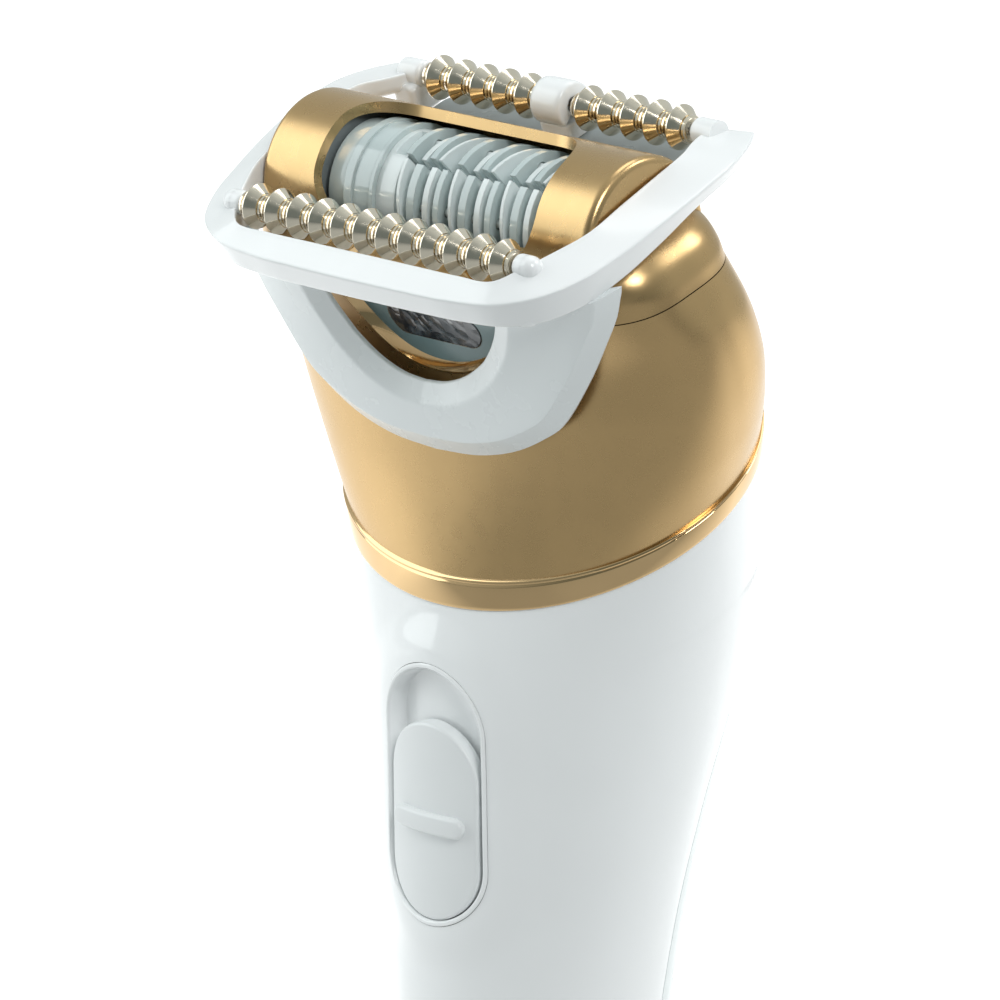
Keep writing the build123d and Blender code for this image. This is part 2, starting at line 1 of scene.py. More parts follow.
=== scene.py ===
import math

import bpy
import numpy as np
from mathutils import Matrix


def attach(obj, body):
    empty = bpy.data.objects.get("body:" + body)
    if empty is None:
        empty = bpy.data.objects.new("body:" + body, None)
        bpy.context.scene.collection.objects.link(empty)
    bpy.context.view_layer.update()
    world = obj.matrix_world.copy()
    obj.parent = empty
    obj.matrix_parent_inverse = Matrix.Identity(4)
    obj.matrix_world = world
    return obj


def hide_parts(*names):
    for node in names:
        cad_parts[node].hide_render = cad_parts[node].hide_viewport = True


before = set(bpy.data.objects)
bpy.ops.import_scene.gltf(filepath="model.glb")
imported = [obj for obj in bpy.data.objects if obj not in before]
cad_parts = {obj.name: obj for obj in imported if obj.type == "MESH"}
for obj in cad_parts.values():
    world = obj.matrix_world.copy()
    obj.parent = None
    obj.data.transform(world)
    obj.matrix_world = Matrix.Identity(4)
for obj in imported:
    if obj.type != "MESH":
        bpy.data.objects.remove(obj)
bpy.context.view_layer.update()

# ------------------------------------------------------------------ grip shells
# Two halves of glossy ABS, moulded 1.8 mm thick and snapped together. The front half
# wraps right round under the neck ring and swells into a soft collar at the switch.
# All sizes are millimetres in the row frame; meshes are scaled to metres on the way in.
MM = 0.001
SHELL_WALL = 1.8
# centre y, centre z, tilt, half width, half depth, squareness
GRIP = np.array([
    (0.0, 3.4, 0, 15.2, 16.4, 2.0),
    (0.0, 22.0, 0, 15.6, 16.8, 2.0),
    (0.0, 40.0, 0, 15.9, 17.0, 2.0),
    (1.0, 59.0, 0, 17.4, 18.0, 2.0),
    (1.8, 72.0, 1, 19.1, 18.8, 2.0),
    (3.1, 85.0, 3, 21.3, 20.1, 2.0),
    (5.0, 98.0, 9, 23.6, 22.3, 2.0),
    (6.0, 112.0, 19, 26.0, 24.4, 2.0),
    (4.9, 126.7, 31, 29.0, 24.4, 2.0),
])
# parting line between the halves: y against height
PARTING = np.array([
    (5.0, -6), (5.5, 20), (6.0, 40), (7.3, 63), (9.5, 80), (14, 97), (21, 111), (30, 121.5), (42, 134),
])
SWITCH_Z, RECESS_W, RECESS_H = 89.7, 16.0, 33.0
COLLAR_RISE, COLLAR_REACH = 0.6, 7.0
WHITE = (0.92, 0.935, 0.94)


def curve(xs, ys, x):
    """Smooth curve through points: cubic pieces whose slopes are the central differences."""
    xs, ys = np.asarray(xs, float), np.asarray(ys, float)
    ys = ys.reshape(len(xs), -1)
    slope = np.gradient(ys, xs, axis=0)
    x = np.asarray(x, float)
    i = np.clip(np.searchsorted(xs, x) - 1, 0, len(xs) - 2)
    step = xs[i + 1] - xs[i]
    t = ((x - xs[i]) / step)[..., None]
    step = step[..., None]
    a, b = ys[i], ys[i + 1]
    out = (2 * t**3 - 3 * t**2 + 1) * a + (t**3 - 2 * t**2 + t) * step * slope[i]
    out = out + (3 * t**2 - 2 * t**3) * b + (t**3 - t**2) * step * slope[i + 1]
    return out[..., 0] if out.shape[-1] == 1 else out


def hull_point(sections, phi, v, grow=0.0):
    """Point of a body whose cross-section at v is the superellipse |x/A|^n + |y/B|^n = 1.

    phi runs round it (0 at +X, -pi/2 at the front); v is the section's centre height.
    """
    row = curve(sections[:, 1], sections[:, [0, 2, 3, 4, 5]], v)
    yc, tilt, wide, deep, n = np.moveaxis(row, -1, 0)
    c, s = np.cos(phi), np.sin(phi)
    rho = (np.abs(c) ** n + np.abs(s) ** n) ** (-1 / n)
    x = (wide + grow) * rho * c
    y = (deep + grow) * rho * s
    t = np.radians(tilt)
    return np.stack([x, yc + y * np.cos(t), v + y * np.sin(t)], -1)


def outward(point, phi, v):
    """Unit normal of a surface point(phi, v), from central differences."""
    e = 1e-3
    du = point(phi + e, v) - point(phi - e, v)
    dv = point(phi, v + e) - point(phi, v - e)
    n = np.cross(du, dv)
    return n / np.linalg.norm(n, axis=-1, keepdims=True)


def solve_on(point, flat, phi, v, want):
    """(phi, v) whose point has the flat coordinates wanted, by Newton steps."""
    e = 1e-4
    for _ in range(12):
        miss = flat(point(phi, v)) - want
        ju = (flat(point(phi + e, v)) - flat(point(phi - e, v))) / (2 * e)
        jv = (flat(point(phi, v + e)) - flat(point(phi, v - e))) / (2 * e)
        det = ju[..., 0] * jv[..., 1] - ju[..., 1] * jv[..., 0]
        det = np.where(np.abs(det) < 1e-9, 1e-9, det)
        phi = phi - (miss[..., 0] * jv[..., 1] - miss[..., 1] * jv[..., 0]) / det
        v = v - (ju[..., 0] * miss[..., 1] - ju[..., 1] * miss[..., 0]) / det
    return phi, v


def stadium(flat, wide, tall, middle):
    """(signed distance, nearest outline point) for an upright stadium in the x, z plane."""
    half = (tall - wide) / 2
    z = np.clip(flat[..., 1] - middle, -half, half)
    spine = np.stack([np.zeros_like(z), z + middle], -1)
    away = flat - spine
    far = np.linalg.norm(away, axis=-1)
    unit = away / np.maximum(far, 1e-9)[..., None]
    return far - wide / 2, spine + unit * wide / 2


def cut_hole(point, flat, phi, v, outline, near, front):
    """Moves grid points beside an outline onto it; returns phi, v and a mask of the cells kept."""
    off, edge = outline(flat(point(phi, v)))
    inside = (off < near) & front(point(phi, v))
    drop = inside[:-1, :-1] & inside[1:, :-1] & inside[1:, 1:] & inside[:-1, 1:]
    beside = np.zeros(inside.shape, bool)
    for rows in (slice(None, -1), slice(1, None)):
        for cols in (slice(None, -1), slice(1, None)):
            beside[rows, cols] |= ~drop
    close = inside & beside
    p2, v2 = solve_on(point, flat, phi[close], v[close], edge[close])
    phi, v = phi.copy(), v.copy()
    phi[close], v[close] = p2, v2
    return phi, v, ~drop


def weld(points):
    """Same points with coincident ones joined: (kept points, new index of each)."""
    keys = np.round(points * 2e4).astype(np.int64)
    _, first, back = np.unique(keys, axis=0, return_index=True, return_inverse=True)
    return points[first], back.reshape(-1)


def grid_part(grid, wrap_rows=False, wrap_cols=False):
    """(points, quads) of one grid, which may run round on itself either way."""
    rows, cols = grid.shape[:2]
    i = np.arange(rows if wrap_rows else rows - 1)
    j = np.arange(cols if wrap_cols else cols - 1)
    a, b = np.meshgrid(i, j, indexing="ij")
    a2, b2 = (a + 1) % rows, (b + 1) % cols
    cells = np.stack([a * cols + b, a2 * cols + b, a2 * cols + b2, a * cols + b2], -1)
    return grid.reshape(-1, 3), cells.reshape(-1, 4)


def wall_part(outer, inner, kept=None):
    """(points, quads) of a wall between two matching grids, with a strip along every open edge."""
    flat, quads = grid_part(outer)
    if kept is not None:
        quads = quads[kept.reshape(-1)]
    _, back = weld(flat)
    first = np.full(back.max() + 1, -1)
    first[back[::-1]] = np.arange(len(back))[::-1]
    quads = first[back][quads]
    edges = np.stack([quads, np.roll(quads, -1, axis=1)], -1).reshape(-1, 2)
    edges = edges[edges[:, 0] != edges[:, 1]]
    size = len(flat)
    codes = edges[:, 0] * size + edges[:, 1]
    twins = edges[:, 1] * size + edges[:, 0]
    rim = edges[~np.isin(codes, twins)]
    strip = np.stack([rim[:, 1], rim[:, 0], rim[:, 0] + size, rim[:, 1] + size], -1)
    faces = np.concatenate([quads, quads[:, ::-1] + size, strip])
    points = np.concatenate([flat, inner.reshape(-1, 3)])
    used = np.unique(faces)
    lookup = np.zeros(len(points), int)
    lookup[used] = np.arange(len(used))
    return points[used], lookup[faces]


def make_piece(name, *parts, sharp=32.0):
    """One mesh object in metres from (points, quads) parts; joined corners make triangles."""
    starts = np.cumsum([0] + [len(points) for points, _ in parts])
    quads = np.concatenate([q + s for (_, q), s in zip(parts, starts)])
    points, back = weld(np.concatenate([p for p, _ in parts]))
    quads = back[quads]
    same = quads == np.roll(quads, -1, axis=1)
    full = quads[~same.any(1)]
    tri_rows = quads[same.sum(1) == 1]
    gap = np.argmax(tri_rows == np.roll(tri_rows, -1, axis=1), axis=1)
    pick = (gap[:, None] + 1 + np.arange(3)) % 4
    tris = np.take_along_axis(tri_rows, pick, axis=1)
    loops = np.concatenate([full.ravel(), tris.ravel()])
    totals = np.concatenate([np.full(len(full), 4), np.full(len(tris), 3)])
    starts = np.concatenate([[0], np.cumsum(totals)[:-1]])
    mesh = bpy.data.meshes.new(name)
    mesh.vertices.add(len(points))
    mesh.vertices.foreach_set("co", (points * MM).astype(np.float32).ravel())
    mesh.loops.add(len(loops))
    mesh.loops.foreach_set("vertex_index", loops.astype(np.int32))
    mesh.polygons.add(len(totals))
    mesh.polygons.foreach_set("loop_start", starts.astype(np.int32))
    mesh.polygons.foreach_set("loop_total", totals.astype(np.int32))
    mesh.update(calc_edges=True)
    mesh.validate()
    mesh.shade_smooth()
    mesh.set_sharp_from_angle(angle=math.radians(sharp))
    piece = bpy.data.objects.new(name, mesh)
    bpy.context.scene.collection.objects.link(piece)
    return piece


def nodes_of(name):
    """New node material: its tree, Principled shader and Object coordinates."""
    material = bpy.data.materials.new(name)
    material.use_nodes = True
    tree = material.node_tree
    shader = tree.nodes["Principled BSDF"]
    place = tree.nodes.new("ShaderNodeTexCoord").outputs["Object"]
    return material, tree, shader, place


def noise(tree, place, size_mm, detail=3.0, rough=0.5):
    """Noise whose features are about size_mm across."""
    node = tree.nodes.new("ShaderNodeTexNoise")
    node.inputs["Scale"].default_value = 1000.0 / size_mm
    node.inputs["Detail"].default_value = detail
    node.inputs["Roughness"].default_value = rough
    tree.links.new(place, node.inputs["Vector"])
    return node.outputs["Fac"]


def between(tree, fac, low, high, ends=(0.35, 0.65)):
    """Ramp of fac between two values or two colours."""
    node = tree.nodes.new("ShaderNodeMapRange" if np.isscalar(low) else "ShaderNodeValToRGB")
    if np.isscalar(low):
        node.inputs["From Min"].default_value = ends[0]
        node.inputs["From Max"].default_value = ends[1]
        node.inputs["To Min"].default_value = low
        node.inputs["To Max"].default_value = high
        tree.links.new(fac, node.inputs["Value"])
        return node.outputs["Result"]
    ramp = node.color_ramp
    ramp.elements[0].position, ramp.elements[1].position = ends
    ramp.elements[0].color = (*low, 1)
    ramp.elements[1].color = (*high, 1)
    tree.links.new(fac, node.inputs["Fac"])
    return node.outputs["Color"]


def texture_bump(tree, shader, height, depth_mm, strength=1.0):
    """Relief of a given depth from a height field."""
    node = tree.nodes.new("ShaderNodeBump")
    node.inputs["Strength"].default_value = strength
    node.inputs["Distance"].default_value = depth_mm * MM
    tree.links.new(height, node.inputs["Height"])
    tree.links.new(node.outputs["Normal"], shader.inputs["Normal"])


def plastic(name, colour, rough=0.25, coat=0.0, drift=0.03, grain_mm=0.5, grain_depth=0.002, mottle_mm=18.0):
    """Moulded plastic: slow drift of tone, uneven gloss and a fine moulded grain."""
    material, tree, shader, place = nodes_of(name)
    slow = noise(tree, place, mottle_mm, 2.0)
    dark = tuple(c * (1 - drift) for c in colour)
    pale = tuple(min(1.0, c * (1 + drift)) for c in colour)
    tree.links.new(between(tree, slow, dark, pale), shader.inputs["Base Color"])
    gloss = noise(tree, place, mottle_mm / 3, 4.0)
    tree.links.new(between(tree, gloss, rough * 0.85, rough * 1.15), shader.inputs["Roughness"])
    texture_bump(tree, shader, noise(tree, place, grain_mm, 3.0), grain_depth)
    shader.inputs["IOR"].default_value = 1.5
    if coat:
        shader.inputs["Coat Weight"].default_value = coat
        shader.inputs["Coat Roughness"].default_value = 0.06
    return material


def dress(piece, material, slot, body, *stands_for):
    """Material, body and replaced nodes of one piece; the slot is not used."""
    piece.data.materials.clear()
    piece.data.materials.append(material)
    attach(piece, body)
    if stands_for:
        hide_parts(*stands_for)


def grip_point(phi, v, grow=0.0):
    return hull_point(GRIP, phi, v, grow)


def front_flat(p):
    return p[..., [0, 2]]


def collar(p):
    """Height of the soft swelling round the switch: a smooth step of the distance to its recess."""
    off, _ = stadium(front_flat(p), RECESS_W, RECESS_H, SWITCH_Z)
    t = np.clip((off - 1.2) / (COLLAR_REACH - 1.2), 0, 1)
    return np.where(p[..., 1] < 0, COLLAR_RISE * (1 - t * t * (3 - 2 * t)), 0.0)


def collared(phi, v, grow=0.0):
    """Grip surface with the collar added along its normal."""
    p = grip_point(phi, v)
    return p + outward(grip_point, phi, v) * (collar(p) + grow)[..., None]


def parting_span(v):
    """Angle from the front's middle to the parting line at each section, by bisection."""
    row = curve(GRIP[:, 1], GRIP[:, [0, 2, 4]], v)
    yc, tilt, deep = np.moveaxis(row, -1, 0)
    t = np.radians(tilt)
    low, high = np.full_like(v, -1.0), np.full_like(v, 1.0)
    for _ in range(40):
        s = (low + high) / 2
        y, z = yc + np.cos(t) * deep * s, v + np.sin(t) * deep * s
        behind = y > curve(PARTING[:, 1], PARTING[:, 0], z)
        low, high = np.where(behind, low, s), np.where(behind, s, high)
    return np.pi / 2 + np.arcsin(np.clip((low + high) / 2, -1, 1))


white_gloss = plastic(
    "white_gloss", WHITE, rough=0.16, coat=0.6, drift=0.012, grain_mm=1.4, grain_depth=0.003,
)
BOTTOM, TOP = GRIP[0, 1], GRIP[-1, 1]
heights = np.linspace(BOTTOM, TOP, 230)
around = np.linspace(-1, 1, 301)
span = parting_span(heights)
phi, v = np.meshgrid(around, heights, indexing="ij")
phi = -np.pi / 2 + phi * span[None, :]
outline = lambda flat: stadium(flat, RECESS_W + 0.8, RECESS_H + 0.8, SWITCH_Z)
in_front = lambda p: p[..., 1] < 0
phi, v, kept = cut_hole(grip_point, front_flat, phi, v, outline, 0.33, in_front)
front_shell = make_piece("front_shell", wall_part(collared(phi, v), collared(phi, v, -SHELL_WALL), kept))
dress(front_shell, white_gloss, "white_shell", "handle", "front_shell")

# The rear half is a tongue coloured slightly greyer and tealer, tapering out under the ring.
GREY_SHELL = (0.66, 0.72, 0.72)
SEAM = 0.12
tongue_top = heights[np.argmax(span > np.pi - 1e-3)]
steps = np.sin(np.linspace(0, np.pi / 2, 130))
heights = BOTTOM + (tongue_top - BOTTOM) * steps
phi, v = np.meshgrid(np.linspace(-1, 1, 121), heights, indexing="ij")
back_span = np.pi - parting_span(heights)
back_span = np.maximum(back_span - SEAM / 16 * np.minimum(1, back_span * 4), 0)
back_span[-1] = 0
phi = np.pi / 2 + phi * back_span[None, :]
rear_shell = make_piece("rear_shell", wall_part(grip_point(phi, v), grip_point(phi, v, -SHELL_WALL)))
grey_gloss = plastic(
    "grey_gloss", GREY_SHELL, rough=0.24, coat=0.4, drift=0.015, grain_mm=1.1, grain_depth=0.003,
)
dress(rear_shell, grey_gloss, "grey_shell", "handle", "rear_shell")

# ------------------------------------------------------------------ switch
# A white stadium bezel snapped into the collar, with a thin bright lip and a sunk floor,
# and the thumb slider that runs in it: a crowned pad with one raised grip bar.
SLIDER_W, SLIDER_H, SLIDER_Z = 14.4, 25.4, 86.3
BAR_W, BAR_H = 11.2, 2.6
BEZEL = np.array([
    (0.0, -2.9), (8.25, -2.9), (8.35, -2.6), (8.35, 0.45), (8.32, 0.66), (8.18, 0.78), (7.98, 0.80),
    (7.82, 0.74), (7.72, 0.6), (7.68, 0.3), (7.6, -1.4), (7.4, -1.75), (7.0, -1.9), (5.0, -2.0), (0.0, -2.0),
])


def stadium_way(half, turns, straight):
    """(direction, place along the spine) once round a stadium that lies along its spine."""
    bend = np.linspace(0, np.pi, turns // 2)
    line = np.linspace(half, -half, straight + 2)[1:-1]
    direction = np.concatenate([bend, np.full(straight, np.pi), bend + np.pi, np.full(straight, 2 * np.pi)])
    along = np.concatenate([np.full(len(bend), half), line, np.full(len(bend), -half), line[::-1]])
    return direction, along


def stadium_rings(profile, wide, tall, middle, turns=200, upright=True):
    """Profile of (distance from the spine, height) carried round a stadium laid on the grip."""
    a, along = stadium_way((tall - wide) / 2, turns, 48)
    reach = profile[:, 0][None, :]
    x, z = reach * np.cos(a)[:, None], reach * np.sin(a)[:, None] + along[:, None]
    if not upright:
        x, z = -z, x
    want = np.stack([x, z + middle], -1)
    start = np.full(x.shape, -np.pi / 2) + x / 20
    p, v = solve_on(grip_point, front_flat, start, want[..., 1] + 2.0, want)
    return grip_point(p, v) + outward(grip_point, p, v) * profile[None, :, 1:]


rings = stadium_rings(BEZEL, RECESS_W, RECESS_H, SWITCH_Z)
bezel = make_piece("switch_bezel", grid_part(rings, wrap_rows=True))
dress(bezel, white_gloss, "white_shell", "handle", "switch_bezel")


def rounded_pad(reach, top, under, edge, crown=0.0, steps=10):
    """Half section of a pad: flat or crowned top, quarter-round edge, straight side, flat under."""
    inner = np.linspace(0, reach - edge, 8)
    top_line = np.stack([inner, top + crown * (1 - (inner / reach) ** 2)], -1)
    a = np.linspace(0, np.pi / 2, steps)
    level = top + crown * (1 - ((reach - edge) / reach) ** 2)
    corner = np.stack([reach - edge + edge * np.sin(a), level - edge + edge * np.cos(a)], -1)
    bottom = np.array([(reach, under), (0, under)])
    return np.concatenate([top_line, corner[1:], bottom])[::-1]


satin_white = plastic(
    "satin_white", (0.83, 0.85, 0.855), rough=0.34, coat=0.15, drift=0.01, grain_mm=0.45, grain_depth=0.004,
)
pad = stadium_rings(rounded_pad(SLIDER_W / 2, 0.55, -1.5, 0.45, 0.12), SLIDER_W, SLIDER_H, SLIDER_Z)
bar_profile = rounded_pad(BAR_H / 2, 1.5, 0.2, 0.5, 0.08)
bar = stadium_rings(bar_profile, BAR_H, BAR_W, SLIDER_Z, turns=96, upright=False)
slider = make_piece("switch_slider", grid_part(pad, True), grid_part(bar, True))
dress(slider, satin_white, "white_cap", "slider", "switch_slider")

# ------------------------------------------------------------------ neck ring
# Thin hoop of gold-plated plastic between the grip and the dome, slipped over the neck.
# A fine bead stands along its upper edge.
RING = np.array([(4.9, 126.7, 31, 29.0, 24.4, 2.0), (4.2, 130.2, 31, 30.0, 23.5, 2.0)])
RING_SECTION = np.array([
    (0.0, -1.6), (0.0, 0.05), (0.02, 0.2), (0.06, 0.28), (0.14, 0.32),
    (0.76, 0.32), (0.82, 0.28), (0.845, 0.18),
    (0.86, 0.18), (0.885, 0.34), (0.93, 0.4), (0.975, 0.34), (1.0, 0.2), (1.0, -1.6),
])


def metal(name, colour, rough, flake_mm=0.12, flake_depth=0.0006, drift=0.03, worn=0.25, mottle_mm=9.0):
    """Metal or metal-effect lacquer: tone drift, uneven polish and a fine flake relief."""
    material, tree, shader, place = nodes_of(name)
    shader.inputs["Metallic"].default_value = 1.0
    dark = tuple(c * (1 - drift) for c in colour)
    pale = tuple(min(1.0, c * (1 + drift)) for c in colour)
    tree.links.new(between(tree, noise(tree, place, mottle_mm, 2.0), dark, pale), shader.inputs["Base Color"])
    polish = noise(tree, place, mottle_mm / 4, 5.0)
    tree.links.new(between(tree, polish, rough * (1 - worn), rough * (1 + worn)), shader.inputs["Roughness"])
    texture_bump(tree, shader, noise(tree, place, flake_mm, 2.0), flake_depth)
    return material


def ring_point(phi, t, h):
    """Band between two ellipses: t from the lower to the upper, h outward."""
    a, b = RING
    row = a[None, None, :] * (1 - t[..., None]) + b[None, None, :] * t[..., None]
    tilt = np.radians(a[2])
    x = (row[..., 3] + h) * np.cos(phi)
    y = (row[..., 4] + h) * np.sin(phi)
    return np.stack([x, row[..., 0] + y * np.cos(tilt), row[..., 1] + y * np.sin(tilt)], -1)


turn = np.linspace(0, 2 * np.pi, 360, endpoint=False)
phi, t = np.meshgrid(turn, RING_SECTION[:, 0], indexing="ij")
h = np.broadcast_to(RING_SECTION[:, 1], phi.shape)
trim = make_piece("trim_ring", grid_part(ring_point(phi, t, h), True, True), sharp=40)
gold_chrome = metal("gold_chrome", (0.66, 0.46, 0.24), 0.08, flake_depth=0.0001, drift=0.04)
dress(trim, gold_chrome, "gold_ring", "handle", "trim_ring")

# ------------------------------------------------------------------ dome
# One-piece neck moulded in plastic and lacquered satin gold, 1.5 mm thick, open at the
# top for the head, with an elliptical window for the work light and a hole for the catch.
DOME = np.array([
    (4.2, 130.2, 31, 30.0, 23.5, 2.0),
    (2.1, 137.0, 27, 32.8, 19.4, 2.3),
    (-0.3, 145.0, 22, 34.8, 16.2, 2.6),
    (-2.9, 151.8, 19, 34.8, 14.2, 2.9),
    (-6.4, 157.3, 18, 33.5, 13.8, 3.3),
])
HEAD_TILT = math.radians(18.0)
DRUM_AXIS = np.array([0.0, -8.3, 163.0])
MOULDED_WALL = 1.5
LIGHT_Z, LIGHT_A, LIGHT_B = -7.2, 12.6, 8.2
CATCH_AT, CATCH_AIM = np.array([0.0, 13.8, 150.8]), math.radians(49.0)


def to_row(p):
    """Head-frame points in the row frame: turned forward by the head's tilt about the drum's axis."""
    p = np.asarray(p, float)
    c, s = math.cos(HEAD_TILT), math.sin(HEAD_TILT)
    y, z = p[..., 1], p[..., 2]
    return np.stack([p[..., 0], y * c - z * s, y * s + z * c], -1) + DRUM_AXIS


def to_head(p):
    """Row-frame points in the head frame."""
    q = p - DRUM_AXIS
    c, s = math.cos(HEAD_TILT), math.sin(HEAD_TILT)
    return np.stack([q[..., 0], q[..., 1] * c + q[..., 2] * s, q[..., 2] * c - q[..., 1] * s], -1)


def dome_point(phi, v, grow=0.0):
    return hull_point(DOME, phi, v, grow)


def head_flat(p):
    return to_head(p)[..., [0, 2]]


def ellipse(flat, a, b, middle):
    """(rough signed distance, point on the outline in the same direction) for an ellipse."""
    rel = flat - np.array([0.0, middle])
    size = np.sqrt((rel[..., 0] / a) ** 2 + (rel[..., 1] / b) ** 2)
    edge = rel / np.maximum(size, 1e-9)[..., None] + np.array([0.0, middle])
    return (size - 1) * np.linalg.norm(edge - np.array([0.0, middle]), axis=-1), edge


def catch_flat(p):
    """Coordinates across the catch button's axis."""
    q = p - CATCH_AT
    return np.stack([q[..., 0], q[..., 1] * math.cos(CATCH_AIM) - q[..., 2] * math.sin(CATCH_AIM)], -1)


gold_satin = metal(
    "gold_satin", (0.55, 0.375, 0.18), 0.28, flake_mm=0.09, flake_depth=0.0012, drift=0.025, worn=0.06,
)
around = np.linspace(-np.pi, np.pi, 481) - np.pi / 2
phi, v = np.meshgrid(around, np.linspace(DOME[0, 1], DOME[-1, 1], 120), indexing="ij")
light_edge = lambda flat: ellipse(flat, LIGHT_A + 1.05, LIGHT_B + 1.05, LIGHT_Z)
phi, v, kept_front = cut_hole(dome_point, head_flat, phi, v, light_edge, 0.2, lambda p: p[..., 1] < -4)
catch_edge = lambda flat: ellipse(flat, 4.3, 4.3, 0.0)
phi, v, kept_back = cut_hole(dome_point, catch_flat, phi, v, catch_edge, 0.2, lambda p: p[..., 1] > 6)
dome_skins = [dome_point(phi, v), dome_point(phi, v, -MOULDED_WALL)]
dome = make_piece("dome", wall_part(*dome_skins, kept_front & kept_back))
dress(dome, gold_satin, "gold_satin", "handle", "dome")

# ------------------------------------------------------------------ light window
# Plated rim pressed into the dome's window, a teal-grey panel sunk behind it, and a
# smoked lens with a faceted inside over the work light.
LENS_W, LENS_H, LENS_Z = 15.6, 4.8, -10.5


def window_points(x, z):
    """Dome (phi, v) under head-frame x, z on the front."""
    want = np.stack([x, z], -1)
    start_v = 146.0 + want[..., 1] * 1.0
    return solve_on(dome_point, head_flat, np.full(x.shape, -np.pi / 2) + x / 34, start_v, want)


def window_rings(grow, height, turns=200):
    """Profile of (growth of the ellipse, height above the dome) carried round the window."""
    a = 2 * np.pi * np.arange(turns) / turns
    x = (LIGHT_A + grow)[None, :] * np.cos(a)[:, None]
    z = (LIGHT_B + grow)[None, :] * np.sin(a)[:, None] + LIGHT_Z
    p, v = window_points(x, z)
    return dome_point(p, v) + outward(dome_point, p, v) * height[None, :, None]


RIM = np.array([
    (1.0, -1.3), (1.0, 0.04), (0.9, 0.16), (0.74, 0.16),
    (0.64, 0.02), (0.3, -0.5), (-0.15, -0.95), (-0.15, -1.3),
])
rings = window_rings(RIM[:, 0], RIM[:, 1])
light_rim = make_piece("light_rim", grid_part(rings, True, True), sharp=30)
dress(light_rim, gold_chrome, "gold_ring", "handle", "light_rim")


def disc_points(scale, height, turns=200):
    """Sheet that fills the window's ellipse, shrunk by scale, at a height above the dome."""
    a = 2 * np.pi * np.arange(turns) / turns
    x = (LIGHT_A - 0.05) * scale[None, :] * np.cos(a)[:, None]
    z = (LIGHT_B - 0.05) * scale[None, :] * np.sin(a)[:, None] + LIGHT_Z
    p, v = window_points(x, z)
    return dome_point(p, v) + outward(dome_point, p, v) * height[None, :, None]


scale = np.concatenate([np.linspace(0, 1, 24), np.linspace(1, 0, 24)])
height = np.concatenate([np.full(24, -0.95), np.full(24, -1.9)])
panel = make_piece("light_panel", grid_part(disc_points(scale, height)[:, ::-1], True))
panel_teal = plastic("panel_teal", (0.21, 0.30, 0.31), rough=0.22, coat=0.3, drift=0.04, grain_mm=0.4)
dress(panel, panel_teal, "panel_teal", "handle", "light_panel")


def lens_rings(profile, turns=120):
    """Profile of (distance from the spine, height above the dome) carried round the lens's stadium."""
    a, along = stadium_way((LENS_W - LENS_H) / 2, turns, 24)
    reach = profile[:, 0][None, :]
    x = -(reach * np.sin(a)[:, None] + along[:, None])
    p, v = window_points(x, reach * np.cos(a)[:, None] + LENS_Z)
    return dome_point(p, v) + outward(dome_point, p, v) * profile[None, :, 1:]


lens_front = rounded_pad(LENS_H / 2, -0.82, -1.2, 0.15, 0.05)
lens_skin = lens_rings(lens_front)
lens = make_piece("light_lens", grid_part(lens_skin, True))
smoke, tree, shader, place = nodes_of("smoked_lens")
facets = tree.nodes.new("ShaderNodeTexVoronoi")
facets.inputs["Scale"].default_value = 520.0
tree.links.new(place, facets.inputs["Vector"])
shade = between(tree, noise(tree, place, 2.2, 2.0), (0.012, 0.018, 0.026), (0.16, 0.19, 0.21), (0.5, 0.78))
tree.links.new(shade, shader.inputs["Base Color"])
texture_bump(tree, shader, facets.outputs["Distance"], 0.35, 0.8)
tree.links.new(between(tree, noise(tree, place, 3.0), 0.04, 0.12), shader.inputs["Roughness"])
shader.inputs["Coat Weight"].default_value = 1.0
shader.inputs["Coat Roughness"].default_value = 0.02
dress(lens, smoke, "lens_smoke", "handle", "light_lens")

# ------------------------------------------------------------------ head shell
# Barrel of satin gold plastic that holds the drum, with a rounded window cut through its
# front and top, and shoulders that carry the dome's shape up round its foot.
BARREL_R, BARREL_HALF, BARREL_WALL, BARREL_EDGE = 10.3, 27.7, 1.4, 1.0
WINDOW_HALF, WINDOW_ARC, WINDOW_CORNER, WINDOW_AIM = 18.7, 10.95, 7.5, math.radians(57.0)
# head-frame height, half width, half depth
SHOULDERS = np.array([
    (-5.85, 33.5, 13.8), (-3.4, 33.1, 13.6), (-1.0, 31.9, 12.9), (0.6, 30.2, 11.8), (1.6, 28.4, 10.9),
])
SHOULDER_N = 3.3


def barrel_point(angle, w, shrink=0.0):
    """Round bar about X: angle up from the front; w is x, with the rim rounded at both ends."""
    past = np.clip(np.abs(w) - (BARREL_HALF - BARREL_EDGE), 0, BARREL_EDGE)
    r = BARREL_R - BARREL_EDGE + np.sqrt(np.maximum(BARREL_EDGE**2 - past**2, 0)) - shrink
    x = np.clip(w, -BARREL_HALF + shrink, BARREL_HALF - shrink)
    return to_row(np.stack([x, -r * np.cos(angle), r * np.sin(angle)], -1))


def barrel_flat(p):
    """Unrolled barrel: x, and arc length from the window's middle."""
    q = to_head(p)
    angle = np.arctan2(q[..., 2], -q[..., 1]) - WINDOW_AIM
    angle = (angle + np.pi) % (2 * np.pi) - np.pi
    return np.stack([q[..., 0], BARREL_R * angle], -1)


